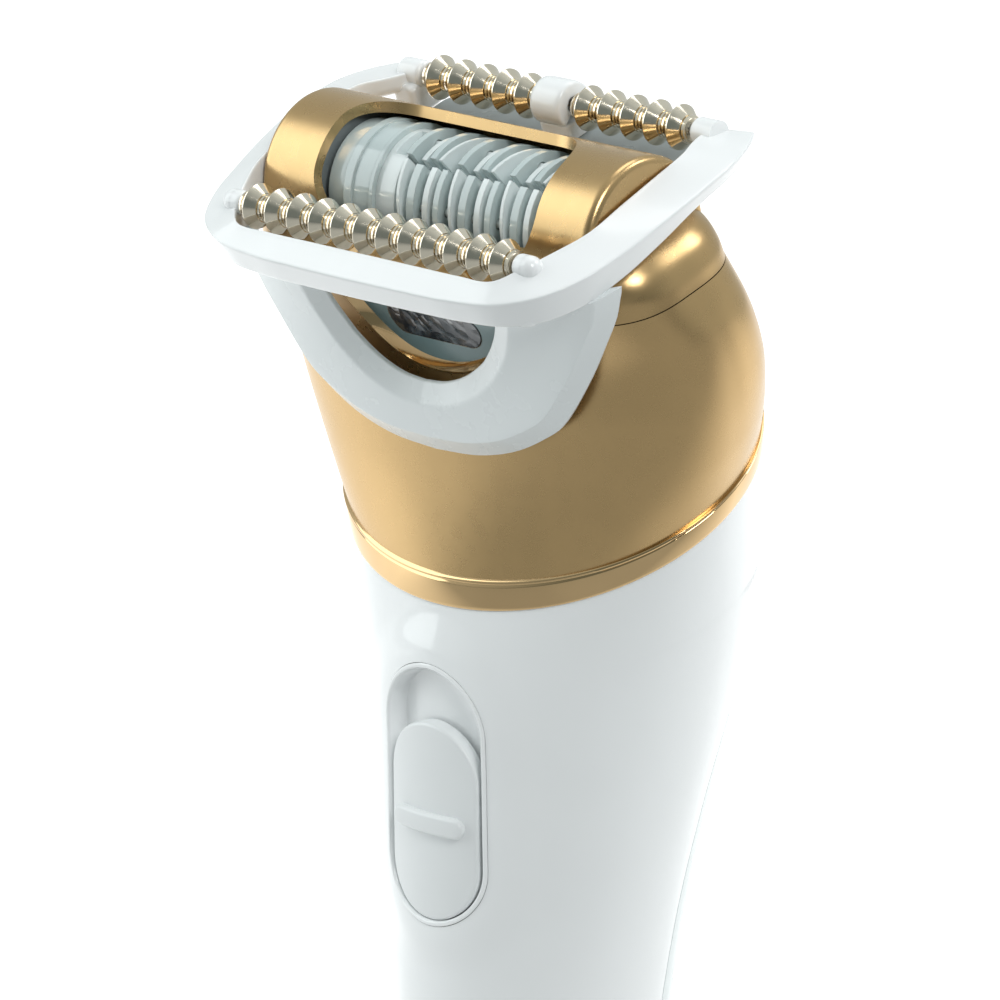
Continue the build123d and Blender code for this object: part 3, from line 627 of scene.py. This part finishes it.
def rounded_box(flat, half_x, half_y, corner):
    """(signed distance, nearest outline point) for a rectangle with round corners."""
    core = np.array([half_x - corner, half_y - corner])
    base = np.clip(flat, -core, core)
    away = flat - base
    far = np.linalg.norm(away, axis=-1)
    side = np.where((core - np.abs(flat)).argmin(-1) == 0, 0, 1)
    sign = np.sign(flat)
    inside_dir = np.stack([np.where(side == 0, sign[..., 0], 0), np.where(side == 1, sign[..., 1], 0)], -1)
    unit = np.where(far[..., None] > 1e-9, away / np.maximum(far, 1e-9)[..., None], inside_dir)
    depth = (core - np.abs(flat)).min(-1)
    off = np.where(far > 1e-9, far - corner, -depth - corner)
    return off, flat - unit * off[..., None]


ends = BARREL_HALF - BARREL_EDGE * (1 - np.sin(np.linspace(0, np.pi / 2, 7)))
across = np.concatenate([-ends[::-1], np.linspace(-ends[0], ends[0], 190)[1:-1], ends])
angle, w = np.meshgrid(np.linspace(0, 2 * np.pi, 241) - np.pi / 2, across, indexing="ij")
hole = lambda flat: rounded_box(flat, WINDOW_HALF, WINDOW_ARC, WINDOW_CORNER)
anywhere = lambda p: np.ones(p.shape[:-1], bool)
angle, w, kept = cut_hole(barrel_point, barrel_flat, angle, w, hole, 0.17, anywhere)
barrel_skins = [barrel_point(angle, w, shrink)[:, ::-1] for shrink in (0.0, BARREL_WALL)]
barrel = wall_part(*barrel_skins, kept[:, ::-1])
spokes = np.linspace(1, 0, 4)


def end_disc(x, flip):
    """Flat end of the barrel, from its rim to the axis."""
    a, k = np.meshgrid(np.linspace(0, 2 * np.pi, 97), spokes, indexing="ij")
    r = (BARREL_R - BARREL_EDGE + 0.02) * k
    grid = to_row(np.stack([np.full_like(a, x), -r * np.cos(a), r * np.sin(a)], -1))
    return grid_part(grid[:, ::-1] if flip else grid)


def shoulder_point(phi, v, grow=0.0):
    size = curve(SHOULDERS[:, 0], SHOULDERS[:, 1:], v)
    c, s = np.cos(phi), np.sin(phi)
    rho = (np.abs(c) ** SHOULDER_N + np.abs(s) ** SHOULDER_N) ** (-1 / SHOULDER_N)
    return to_row(np.stack([(size[..., 0] + grow) * rho * c, (size[..., 1] + grow) * rho * s, v], -1))


rises = np.linspace(SHOULDERS[0, 0], SHOULDERS[-1, 0], 40)
phi, v = np.meshgrid(np.linspace(-np.pi, np.pi, 361), rises, indexing="ij")
foot = wall_part(shoulder_point(phi, v), shoulder_point(phi, v, -MOULDED_WALL))
discs = [end_disc(-BARREL_HALF, False), end_disc(BARREL_HALF, True)]
head_shell = make_piece("head_shell", barrel, foot, *discs)
dress(head_shell, gold_satin, "gold_satin", "head", "head_shell")

# ------------------------------------------------------------------ massage rollers
# Turned and nickel-champagne plated: double cones with a sharp crest, joined by short
# polished waists with a fine ring groove. Each runs free on a steel pin.
ROLLER_Y, ROLLER_Z, REAR_Z = 16.6, 4.6, 5.6
BEAD_PITCH, PIN_BORE = 3.79, 0.85
FRONT_BEADS, REAR_BEADS, REAR_INNER = 12, 5, 5.1
BEAD = np.array([
    (-1.895, 1.42), (-1.83, 1.46), (-1.78, 1.72), (-1.48, 1.76), (-1.43, 1.50), (-1.34, 1.50), (-1.28, 1.84),
    (-0.22, 2.72), (-0.06, 2.84), (0.06, 2.84), (0.22, 2.72),
    (1.28, 1.84), (1.34, 1.50), (1.43, 1.50), (1.48, 1.76), (1.78, 1.72), (1.83, 1.46),
])


def turned(xs, y, z, turns=96):
    """Beads carried along X at the given middles, turned about the pin's axis."""
    last = np.array([(xs[-1] + BEAD_PITCH / 2, BEAD[0, 1])])
    line = np.concatenate([BEAD + np.array([x, 0.0]) for x in xs] + [last])
    line = np.concatenate([[(line[0, 0], PIN_BORE)], line, [(line[-1, 0], PIN_BORE)]])
    a = 2 * np.pi * np.arange(turns) / turns
    x = np.broadcast_to(line[:, 0], (turns, len(line)))
    r = line[:, 1][None, :]
    grid = np.stack([x, y + r * np.cos(a)[:, None], z + r * np.sin(a)[:, None]], -1)
    return grid_part(to_row(grid)[::-1], True, True)


bead_metal = metal(
    "bead_metal", (0.80, 0.73, 0.60), 0.13, flake_mm=0.5, flake_depth=0.0008, drift=0.05, mottle_mm=3.0,
)
front_xs = [BEAD_PITCH * (i - (FRONT_BEADS - 1) / 2) for i in range(FRONT_BEADS)]
rear_xs = [REAR_INNER + BEAD_PITCH * i for i in range(REAR_BEADS)]
rollers = (
    ("front_roller", front_xs, -ROLLER_Y, ROLLER_Z),
    ("rear_right_roller", rear_xs, ROLLER_Y, REAR_Z),
    ("rear_left_roller", [-x for x in reversed(rear_xs)], ROLLER_Y, REAR_Z),
)
for name, xs, y, z in rollers:
    roller = make_piece(name, turned(xs, y, z), sharp=16)
    dress(roller, bead_metal, "bead_metal", name, name)

# ------------------------------------------------------------------ cap frame
# White ABS ribbon that rings the head: a front bar, two sides that arch over the barrel's
# ends, and pointed rear tips. The hubs that hold the roller pins are moulded on it.
# Stations of the right half from the middle of the front to the rear tip: outer x, y;
# inner x, y; height of the inner edge, of the outer shoulder, of the outer foot.
RIBBON = np.array([
    (0.0, -23.6, 0.0, -20.2, 3.9, 2.1, -1.6),
    (9.0, -23.5, 8.5, -20.2, 3.9, 2.1, -1.6),
    (17.0, -23.2, 16.0, -20.2, 3.9, 2.1, -1.6),
    (23.5, -22.2, 21.3, -20.0, 4.0, 2.3, -1.5),
    (28.6, -19.2, 23.8, -17.6, 4.7, 2.8, -1.3),
    (31.4, -14.5, 25.9, -13.6, 5.3, 3.3, -0.9),
    (32.9, -8.5, 27.7, -9.0, 5.9, 4.0, 0.1),
    (33.8, -2.0, 27.95, -3.0, 6.6, 4.9, 1.6),
    (34.1, 4.5, 27.95, 3.0, 7.1, 5.6, 3.0),
    (33.6, 11.0, 27.4, 8.9, 7.2, 5.9, 3.4),
    (31.8, 15.9, 25.6, 12.8, 6.6, 5.5, 2.9),
    (29.6, 19.4, 24.0, 17.2, 5.8, 5.0, 2.2),
])


def chaikin(loop, rounds=3):
    """Corner cutting along a closed profile: each side is cut at a quarter and three quarters."""
    for _ in range(rounds):
        ahead = np.roll(loop, -1, axis=1)
        cut = np.stack([0.75 * loop + 0.25 * ahead, 0.25 * loop + 0.75 * ahead], 2)
        loop = cut.reshape(loop.shape[0], -1, 3)
    return loop


def ribbon_rings(stations, side_rows):
    """Section of the frame carried round it: flat top, bevelled shoulder, undercut foot."""
    length = np.cumsum(np.r_[0, np.linalg.norm(np.diff(stations[:, :2], axis=0), axis=1)])
    s = np.linspace(0, length[-1], side_rows)
    half = curve(length, stations, s)
    left = half[::-1].copy()
    left[:, [0, 2]] *= -1
    row = np.concatenate([left[:-1], half])
    outer, inner = row[:, :2], row[:, 2:4]
    top, shoulder, foot = row[:, 4], row[:, 5], row[:, 6]
    out = outer - inner
    out = out / np.linalg.norm(out, axis=1, keepdims=True)

    def corner(base, push, z):
        return np.concatenate([base + out * push, z[:, None]], 1)
    fall = (top - shoulder) / np.linalg.norm(outer - inner, axis=1)
    loop = [
        corner(inner, 0.0, foot + 1.0),
        corner(inner, 0.0, top - 0.5),
        corner(inner, 0.04, top - 0.12),
        corner(inner, 0.2, top),
        corner(inner, 0.6, top - 0.6 * fall),
        corner(outer, -0.6, shoulder + 0.6 * fall),
        corner(outer, -0.15, shoulder + 0.15 * fall),
        corner(outer, -0.02, shoulder - 0.12),
        corner(outer, -0.18, shoulder - 0.6),
        corner(outer, -1.15, foot + 0.55),
        corner(outer, -1.35, foot + 0.1),
        corner(outer, -1.8, foot),
        corner(outer, -2.4, foot + 0.2),
    ]
    return chaikin(np.stack(loop, 1), 2)


ribbon = ribbon_rings(RIBBON, 150)
# the rear tips close in four steps, so they end in a blunt point
hollow = ribbon.mean(1, keepdims=True)
forward = ribbon[-1:].mean(1) - ribbon[-2:-1].mean(1)
forward = forward / np.linalg.norm(forward) * np.array([1.0, 1.0, 0.4])
back = forward * np.array([-1.0, 1.0, 1.0])
tips = [(0.96, 0.25), (0.80, 0.7), (0.45, 1.1), (0.0, 1.25)]
last = [hollow[-1:] + (ribbon[-1:] - hollow[-1:]) * k + forward * d for k, d in tips]
first = [hollow[:1] + (ribbon[:1] - hollow[:1]) * k + back * d for k, d in tips[::-1]]
ribbon = np.concatenate([*first, ribbon, *last])
ribbon_part = grid_part(to_row(ribbon), False, True)


def plug_x(x0, x1, r, y, z, round_end=0.6, turns=48):
    """Solid round boss along X from x0 to x1, its x1 end rounded over."""
    way = np.sign(x1 - x0)
    a = np.linspace(0, np.pi / 2, 8)
    xs = np.concatenate([[x0, x0], x1 - way * round_end * (1 - np.sin(a))])
    rs = np.concatenate([[0, r], r - round_end * (1 - np.cos(a))])
    xs, rs = np.append(xs, x1), np.append(rs, 0)
    t = 2 * np.pi * np.arange(turns) / turns
    x = np.broadcast_to(xs, (turns, len(xs)))
    grid = np.stack([x, y + rs * np.cos(t)[:, None], z + rs * np.sin(t)[:, None]], -1)
    return grid_part(to_row(grid)[::int(-way)], True)


def soft_box(low, high, soft=0.6, rows=24):
    """Box with softened edges: superellipse sections stacked between two rounded ends."""
    low, high = np.array(low, float), np.array(high, float)
    middle, half = (low + high) / 2, (high - low) / 2
    a = 2 * np.pi * np.arange(64) / 64
    n = 6.0
    rho = (np.abs(np.cos(a)) ** n + np.abs(np.sin(a)) ** n) ** (-1 / n)
    t = np.linspace(0, np.pi / 2, 7)
    rise = soft * (1 - np.cos(t))
    lift = np.concatenate([[-half[2]], -half[2] + rise, half[2] - rise[::-1], [half[2]]])
    pull = np.concatenate([[1e3], soft * (1 - np.sin(t)), soft * (1 - np.sin(t[::-1])), [1e3]])
    x = np.maximum(half[0] - pull, 0)[None, :] * (rho * np.cos(a))[:, None]
    y = np.maximum(half[1] - pull, 0)[None, :] * (rho * np.sin(a))[:, None]
    z = np.broadcast_to(lift, x.shape)
    return grid_part(to_row(np.stack([x, y, z], -1) + middle), True)


frame_parts = [ribbon_part]
for side in (-1, 1):
    frame_parts.append(plug_x(side * 24.6, side * 22.95, 1.5, -ROLLER_Y, ROLLER_Z, 0.6))
    frame_parts.append(plug_x(side * 24.5, side * 26.4, 1.5, -ROLLER_Y, ROLLER_Z, 1.4))
    frame_parts.append(plug_x(side * 26.4, side * 22.85, 1.75, ROLLER_Y, REAR_Z, 0.6))
    span_x = sorted((side * 23.0, side * 27.0))
    frame_parts.append(soft_box((span_x[0], 13.8, 0.7), (span_x[1], 18.8, 5.0), 0.8))
frame_parts.append(soft_box((-26.6, -20.8, -1.5), (26.6, -15.6, -0.3), 0.3))
cap_white = plastic(
    "cap_white", (0.87, 0.885, 0.89), rough=0.2, coat=0.4, drift=0.012, grain_mm=0.9, grain_depth=0.003,
)
cap_frame = make_piece("cap_frame", *frame_parts)
dress(cap_frame, cap_white, "white_cap", "cap", "cap_frame")

# ------------------------------------------------------------------ cap skirt
# Apron moulded with the frame that hangs over the dome's front: a deep U outside, a
# half-round cut-out over the light, bevelled along both edges. Its white is painted
# darker and tealer than the frame's, as painted shade.
SKIRT_LEVELS = np.array([
    (-34, 33.5, 17.0, 2.4), (-27, 34.9, 15.6, 2.6), (-18, 35.6, 14.6, 2.9), (-9, 35.1, 14.1, 3.1),
    (-3, 34.2, 14.9, 3.1), (1.0, 33.6, 17.0, 3.1), (4.0, 33.2, 19.0, 3.1),
], float)
OUTER_U = np.array([
    (0, -25.7), (7, -25.2), (13, -23.7), (18, -21.3), (21.8, -18.5),
    (26.4, -12.2), (30.0, -5.6), (31.4, -1.4), (31.7, 0.0),
])
INNER_U = np.array([
    (0, -16.4), (3.5, -16.0), (6.9, -14.7), (9.6, -12.9), (11.4, -11.2),
    (13.8, -7.6), (15.0, -4.0), (15.4, -1.4), (15.4, 0.0),
])


def apron_point(x, z, grow=0.0):
    """Front of the superellipse skin at head-frame x, z: y solves |x/A|^n + |y/B|^n = 1."""
    wide, deep, n = np.moveaxis(curve(SKIRT_LEVELS[:, 0], SKIRT_LEVELS[:, 1:], z), -1, 0)
    inside = np.clip(1 - np.abs(x / (wide + grow)) ** n, 1e-4, 1)
    return np.stack([x, -(deep + grow) * inside ** (1 / n), z], -1)


def apron_normal(x, z):
    e = 1e-2
    dx = apron_point(x + e, z) - apron_point(x - e, z)
    dz = apron_point(x, z + e) - apron_point(x, z - e)
    n = np.cross(dx, dz)
    return n / np.linalg.norm(n, axis=-1, keepdims=True)


# fraction from the cut-out to the outer edge, millimetres added to it, height above the dome
APRON_EDGE = [(0, 0.0, 0.75), (0, 0.03, 1.15), (0, 0.15, 1.3), (0, 2.4, 2.3), (0, 2.65, 2.42), (0, 3.0, 2.45)]
APRON_FACE = [(k, 3.0 - 5.6 * k, 2.45) for k in np.linspace(0.06, 0.94, 16)]
APRON_RIM = [
    (1, -2.6, 2.45), (1, -2.3, 2.42), (1, -2.1, 2.3), (1, -0.3, 1.15), (1, -0.05, 1.0), (1, 0.0, 0.7),
]
APRON_BACK = [(k, 0.6 - 1.2 * k, 0.62) for k in np.linspace(1, 0, 14)]
APRON_SECTION = np.array(APRON_EDGE + APRON_FACE + APRON_RIM + APRON_BACK)


def apron_rings(rows=160):
    """Section carried along the U from the left tip to the right one."""
    s = np.linspace(-1, 1, 2 * rows + 1)
    step = np.linspace(0, 1, len(OUTER_U))
    outer = curve(step, OUTER_U.astype(float), np.abs(s))
    inner = curve(step, INNER_U.astype(float), np.abs(s))
    outer[:, 0] *= np.sign(s)
    inner[:, 0] *= np.sign(s)
    gap = outer - inner
    wide = np.linalg.norm(gap, axis=1, keepdims=True)
    unit = gap / wide
    frac, add, height = APRON_SECTION.T
    at = inner[:, None] + gap[:, None] * frac[None, :, None] + unit[:, None] * add[None, :, None]
    x, z = at[..., 0], at[..., 1]
    return apron_point(x, z) + apron_normal(x, z) * height[None, :, None]


apron = apron_rings()
ends = apron.mean(1, keepdims=True).repeat(apron.shape[1], 1)
apron = np.concatenate([ends[:1], apron, ends[-1:]])
skirt = make_piece("cap_skirt", grid_part(to_row(apron)[::-1], False, True), sharp=24)
# painted shade: the apron's white is set darker and tealer than the frame it is moulded with
painted_shade_skirt = plastic(
    "painted_shade_skirt", (0.80, 0.835, 0.84), rough=0.26, coat=0.3, drift=0.012, grain_mm=0.9, grain_depth=0.003,
)
dress(skirt, painted_shade_skirt, "white_cap", "cap", "cap_skirt")

# ------------------------------------------------------------------ roller pins
# Two drawn steel pins: one through the front roller, one through both rear rollers and
# the clip. Their ends stay inside the hubs.
STEEL = (0.60, 0.61, 0.62)
steel = metal("steel", STEEL, 0.22, flake_mm=0.3, flake_depth=0.0004)
pin_parts = []
for y, z in ((-ROLLER_Y, ROLLER_Z), (ROLLER_Y, REAR_Z)):
    pin_parts += [plug_x(0, side * 24.4, 0.8, y, z, 0.15) for side in (-1, 1)]
pins = make_piece("roller_pins", *pin_parts)
dress(pins, steel, "steel", "cap", "roller_pins")

# ------------------------------------------------------------------ cap trough and clip
# Tray under the rear rollers, coloured dark grey as painted shade, and the white clip
# between them that snaps over the common pin, with a grey notch in its crown.
TRAY = ((-22.75, 12.95, 0.35), (22.75, 20.15, 1.3))
# painted shade: the tray's dark grey stands for the shade under the rear rollers
painted_shade_tray = plastic("painted_shade_tray", (0.30, 0.34, 0.345), rough=0.3, coat=0.2, drift=0.03, grain_mm=0.6)
tray = make_piece("cap_trough", soft_box(*TRAY, 0.25), soft_box((-22.6, 13.1, -0.75), (22.6, 13.9, 0.6), 0.2))
dress(tray, painted_shade_tray, "grey_tray", "cap", "cap_trough")


def clip_rings(half_x, r_in, r_out, y, z, edge=0.35):
    """C-shaped strap over the pin: a rounded bar section swept from the foot over the top."""
    a = np.radians(np.linspace(-38, 218, 72))
    t = 2 * np.pi * np.arange(40) / 40
    n = 8.0
    rho = (np.abs(np.cos(t)) ** n + np.abs(np.sin(t)) ** n) ** (-1 / n)
    x, r = half_x * rho * np.cos(t), (r_in + r_out) / 2 + (r_out - r_in) / 2 * rho * np.sin(t)
    shut = np.array([0.0] + [1.0] * len(a) + [0.0])
    a = np.concatenate([a[:1], a, a[-1:]])
    x = x[None, :] * shut[:, None]
    r = (r_in + r_out) / 2 + (r[None, :] - (r_in + r_out) / 2) * shut[:, None]
    grid = np.stack([x, y + r * np.cos(a)[:, None], z + r * np.sin(a)[:, None]], -1)
    return grid_part(to_row(grid), False, True)


strap = clip_rings(2.5, 0.95, 3.0, ROLLER_Y, REAR_Z)
foot_block = soft_box((-2.55, 14.4, 1.25), (2.55, 18.8, 3.6), 0.35)
clip = make_piece("centre_clip", strap, foot_block, sharp=50)
dress(clip, cap_white, "white_cap", "cap", "centre_clip")

# ------------------------------------------------------------------ release button
# Domed push button in the back of the dome: a crowned cap on a flange that keeps it in.
def button_rings(profile, turns=96):
    """Profile of (radius, height along the button's axis) turned about that axis."""
    a = 2 * np.pi * np.arange(turns) / turns
    r, up = profile[:, 0][None, :], profile[:, 1][None, :]
    aim_y = np.array([math.sin(CATCH_AIM), math.cos(CATCH_AIM)])
    aside = np.array([math.cos(CATCH_AIM), -math.sin(CATCH_AIM)])
    side = r * np.sin(a)[:, None]
    x = r * np.cos(a)[:, None]
    y = CATCH_AT[1] + side * aside[0] + up * aim_y[0]
    z = CATCH_AT[2] + side * aside[1] + up * aim_y[1]
    return np.stack([x, y, z], -1)


BUTTON = np.array([
    (0, 0.85), (1.2, 0.83), (2.4, 0.76), (3.2, 0.66), (3.6, 0.54), (3.85, 0.34), (3.98, 0.05), (4.0, -0.4),
    (4.0, -3.8),
    (5.2, -3.8), (5.2, -4.6), (0, -4.6),
])
button = make_piece("release_button", grid_part(button_rings(BUTTON)[::-1], True))
dress(button, gold_chrome, "gold_ring", "button", "release_button")

# ------------------------------------------------------------------ inner parts
# What the shells hide, and parts whose built shape is already right: each keeps its own
# mesh and gets the finish of what it is made of; the drum's parts and the work light have
# their corners softened where light falls.


def softened(material, radius_mm):
    """Rounds a material's corners for light only, by the radius given."""
    tree = material.node_tree
    shader = tree.nodes["Principled BSDF"]
    bevel = tree.nodes.new("ShaderNodeBevel")
    bevel.samples = 4
    bevel.inputs["Radius"].default_value = radius_mm * MM
    link = shader.inputs["Normal"].links[0]
    tree.links.new(bevel.outputs["Normal"], link.from_node.inputs["Normal"])


brass = metal("brass", (0.72, 0.55, 0.26), 0.28, flake_mm=0.3, flake_depth=0.0006)
disc_teal, disc_pale = [
    plastic(name, colour, rough=0.12, coat=0.5, drift=0.05, grain_mm=0.5, mottle_mm=6.0)
    for name, colour in (("disc_teal", (0.50, 0.58, 0.58)), ("disc_pale", (0.70, 0.76, 0.76)))
]
for material in (disc_teal, disc_pale):
    softened(material, 0.16)
gear_white = plastic("gear_white", (0.78, 0.76, 0.70), rough=0.35, drift=0.03, grain_mm=0.3)
chassis_grey = plastic("chassis_grey", (0.20, 0.23, 0.235), rough=0.4, drift=0.04, grain_mm=0.4)
rubber = plastic("rubber", (0.03, 0.032, 0.034), rough=0.65, drift=0.1, grain_mm=0.25, grain_depth=0.006)
board = plastic("board", (0.03, 0.16, 0.07), rough=0.32, coat=0.3, drift=0.15, grain_mm=0.5, mottle_mm=4.0)
black = plastic("black", (0.025, 0.026, 0.028), rough=0.38, drift=0.08, grain_mm=0.3)
wrap = plastic("cell_wrap", (0.05, 0.14, 0.32), rough=0.25, coat=0.4, drift=0.06, grain_mm=0.6)
FINISH = {
    "base_cap": grey_gloss, "base_screws": steel, "charge_socket": black, "battery_carrier": chassis_grey,
    "battery_cell": wrap, "battery_tabs": steel, "circuit_board": board, "board_parts": black,
    "slide_switch": black,
    "work_light": disc_pale, "motor_can": steel, "motor_shaft": steel, "drive_star": black,
    "motor_mount": steel, "motor_screws": steel, "bulkhead": chassis_grey, "shaft_seal": rubber,
    "input_shaft": gear_white, "input_pinion": brass, "crown_gear": gear_white, "lay_shaft": steel,
    "lay_gear": gear_white, "idler_gear": gear_white, "idler_pin": steel, "drum_gear": gear_white,
    "drum_axle": steel, "drum_bushes": brass, "head_chassis": chassis_grey, "left_flange": disc_teal,
    "right_flange": disc_teal, "drum_band": disc_pale, "drum_core": disc_teal, "tweezer_discs": disc_teal,
    "moving_discs": disc_pale, "lifter_blades": disc_pale,
}
for name, material in FINISH.items():
    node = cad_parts[name]
    node.data.materials.clear()
    node.data.materials.append(material)


# ------------------------------------------------------------------ floor, light and camera
# Seamless floor that glows behind the object as painted light and is painted darker,
# hardly glowing, towards the camera as painted shade; one large soft key from the right,
# a fill from the left and a softly graded room.
from mathutils import Matrix, Vector

floor_size = 6.0
AZIMUTH, ELEVATION = math.radians(44.0), math.radians(15.5)
bpy.ops.mesh.primitive_plane_add(size=floor_size, location=(0, 0, 0))
floor = bpy.context.object
floor.name = "floor"
floor_paint, floor_tree, floor_shader, floor_place = nodes_of("floor_glow_and_painted_shade")
floor_shader.inputs["Roughness"].default_value = 0.9
floor_shader.inputs["Emission Color"].default_value = (1, 1, 1, 1)
apart = floor_tree.nodes.new("ShaderNodeVectorMath")
apart.operation = "DOT_PRODUCT"
apart.inputs[1].default_value = (math.sin(AZIMUTH), -math.cos(AZIMUTH), 0.0)
floor_tree.links.new(floor_place, apart.inputs[0])
nearness = apart.outputs["Value"]
# painted light and shade: the floor glows behind the object and is darker and dim on the camera's side
front_share = between(floor_tree, nearness, 0.0, 1.0, (-0.12, 0.12))
floor_painted_shade = between(floor_tree, front_share, (0.62, 0.62, 0.62), (0.30, 0.31, 0.31), (0.0, 1.0))
floor_tree.links.new(floor_painted_shade, floor_shader.inputs["Base Color"])
glow = between(floor_tree, nearness, 0.85, 0.12, (-0.12, 0.12))
floor_tree.links.new(glow, floor_shader.inputs["Emission Strength"])
floor.data.materials.append(floor_paint)


def softbox(name, place, aim, size, power, colour=(1, 1, 1)):
    """Rectangular area light that looks from place to aim, in metres."""
    data = bpy.data.lights.new(name, "AREA")
    data.shape = "RECTANGLE"
    data.size, data.size_y = size
    data.energy = power
    data.color = colour
    lamp = bpy.data.objects.new(name, data)
    bpy.context.scene.collection.objects.link(lamp)
    lamp.location = place
    lamp.rotation_euler = (Vector(aim) - Vector(place)).to_track_quat("-Z", "Y").to_euler()
    return lamp


middle = (0.0, 0.0, 0.13)
softbox("key", (0.75, -0.35, 0.75), middle, (0.35, 0.35), 3.8)
softbox("fill", (-0.8, -0.5, 0.5), middle, (0.7, 0.9), 3.8, (0.95, 1.0, 1.0))
softbox("top", (0.0, 0.3, 1.1), middle, (0.5, 0.5), 1.8)
softbox("spot", (0.50, 0.52, 0.80), middle, (0.26, 0.26), 1.5)

world = bpy.data.worlds.new("room")
bpy.context.scene.world = world
world.use_nodes = True
tree = world.node_tree
back = tree.nodes["Background"]
coord = tree.nodes.new("ShaderNodeTexCoord")
facing = tree.nodes.new("ShaderNodeVectorMath")
facing.operation = "DOT_PRODUCT"
facing.inputs[1].default_value = (math.sin(AZIMUTH), -math.cos(AZIMUTH), -0.25)
tree.links.new(coord.outputs["Generated"], facing.inputs[0])
ramp = tree.nodes.new("ShaderNodeValToRGB")
ramp.color_ramp.elements[0].position = 0.0
ramp.color_ramp.elements[0].color = (0.86, 0.92, 0.92, 1)
ramp.color_ramp.elements[1].position = 0.75
ramp.color_ramp.elements[1].color = (0.26, 0.30, 0.30, 1)
tree.links.new(facing.outputs["Value"], ramp.inputs["Fac"])
tree.links.new(ramp.outputs["Color"], back.inputs["Color"])
back.inputs["Strength"].default_value = 0.7

TARGET = np.array([0.0, 0.005, 0.123])
DISTANCE, SIDE_SHIFT = 0.9317, 0.00683
right = np.array([math.cos(AZIMUTH), math.sin(AZIMUTH), 0.0])
level = math.cos(ELEVATION)
toward = np.array([math.sin(AZIMUTH) * level, -math.cos(AZIMUTH) * level, math.sin(ELEVATION)])
camera_data = bpy.data.cameras.new("camera")
camera_data.lens, camera_data.sensor_width = 270.0, 36.0
camera = bpy.data.objects.new("camera", camera_data)
bpy.context.scene.collection.objects.link(camera)
camera.location = TARGET + toward * DISTANCE - right * SIDE_SHIFT
up = np.cross(toward, right)
camera.rotation_euler = Matrix(np.stack([right, up, toward], 1).tolist()).to_euler()
bpy.context.scene.camera = camera

bpy.context.scene.view_settings.view_transform = "Standard"
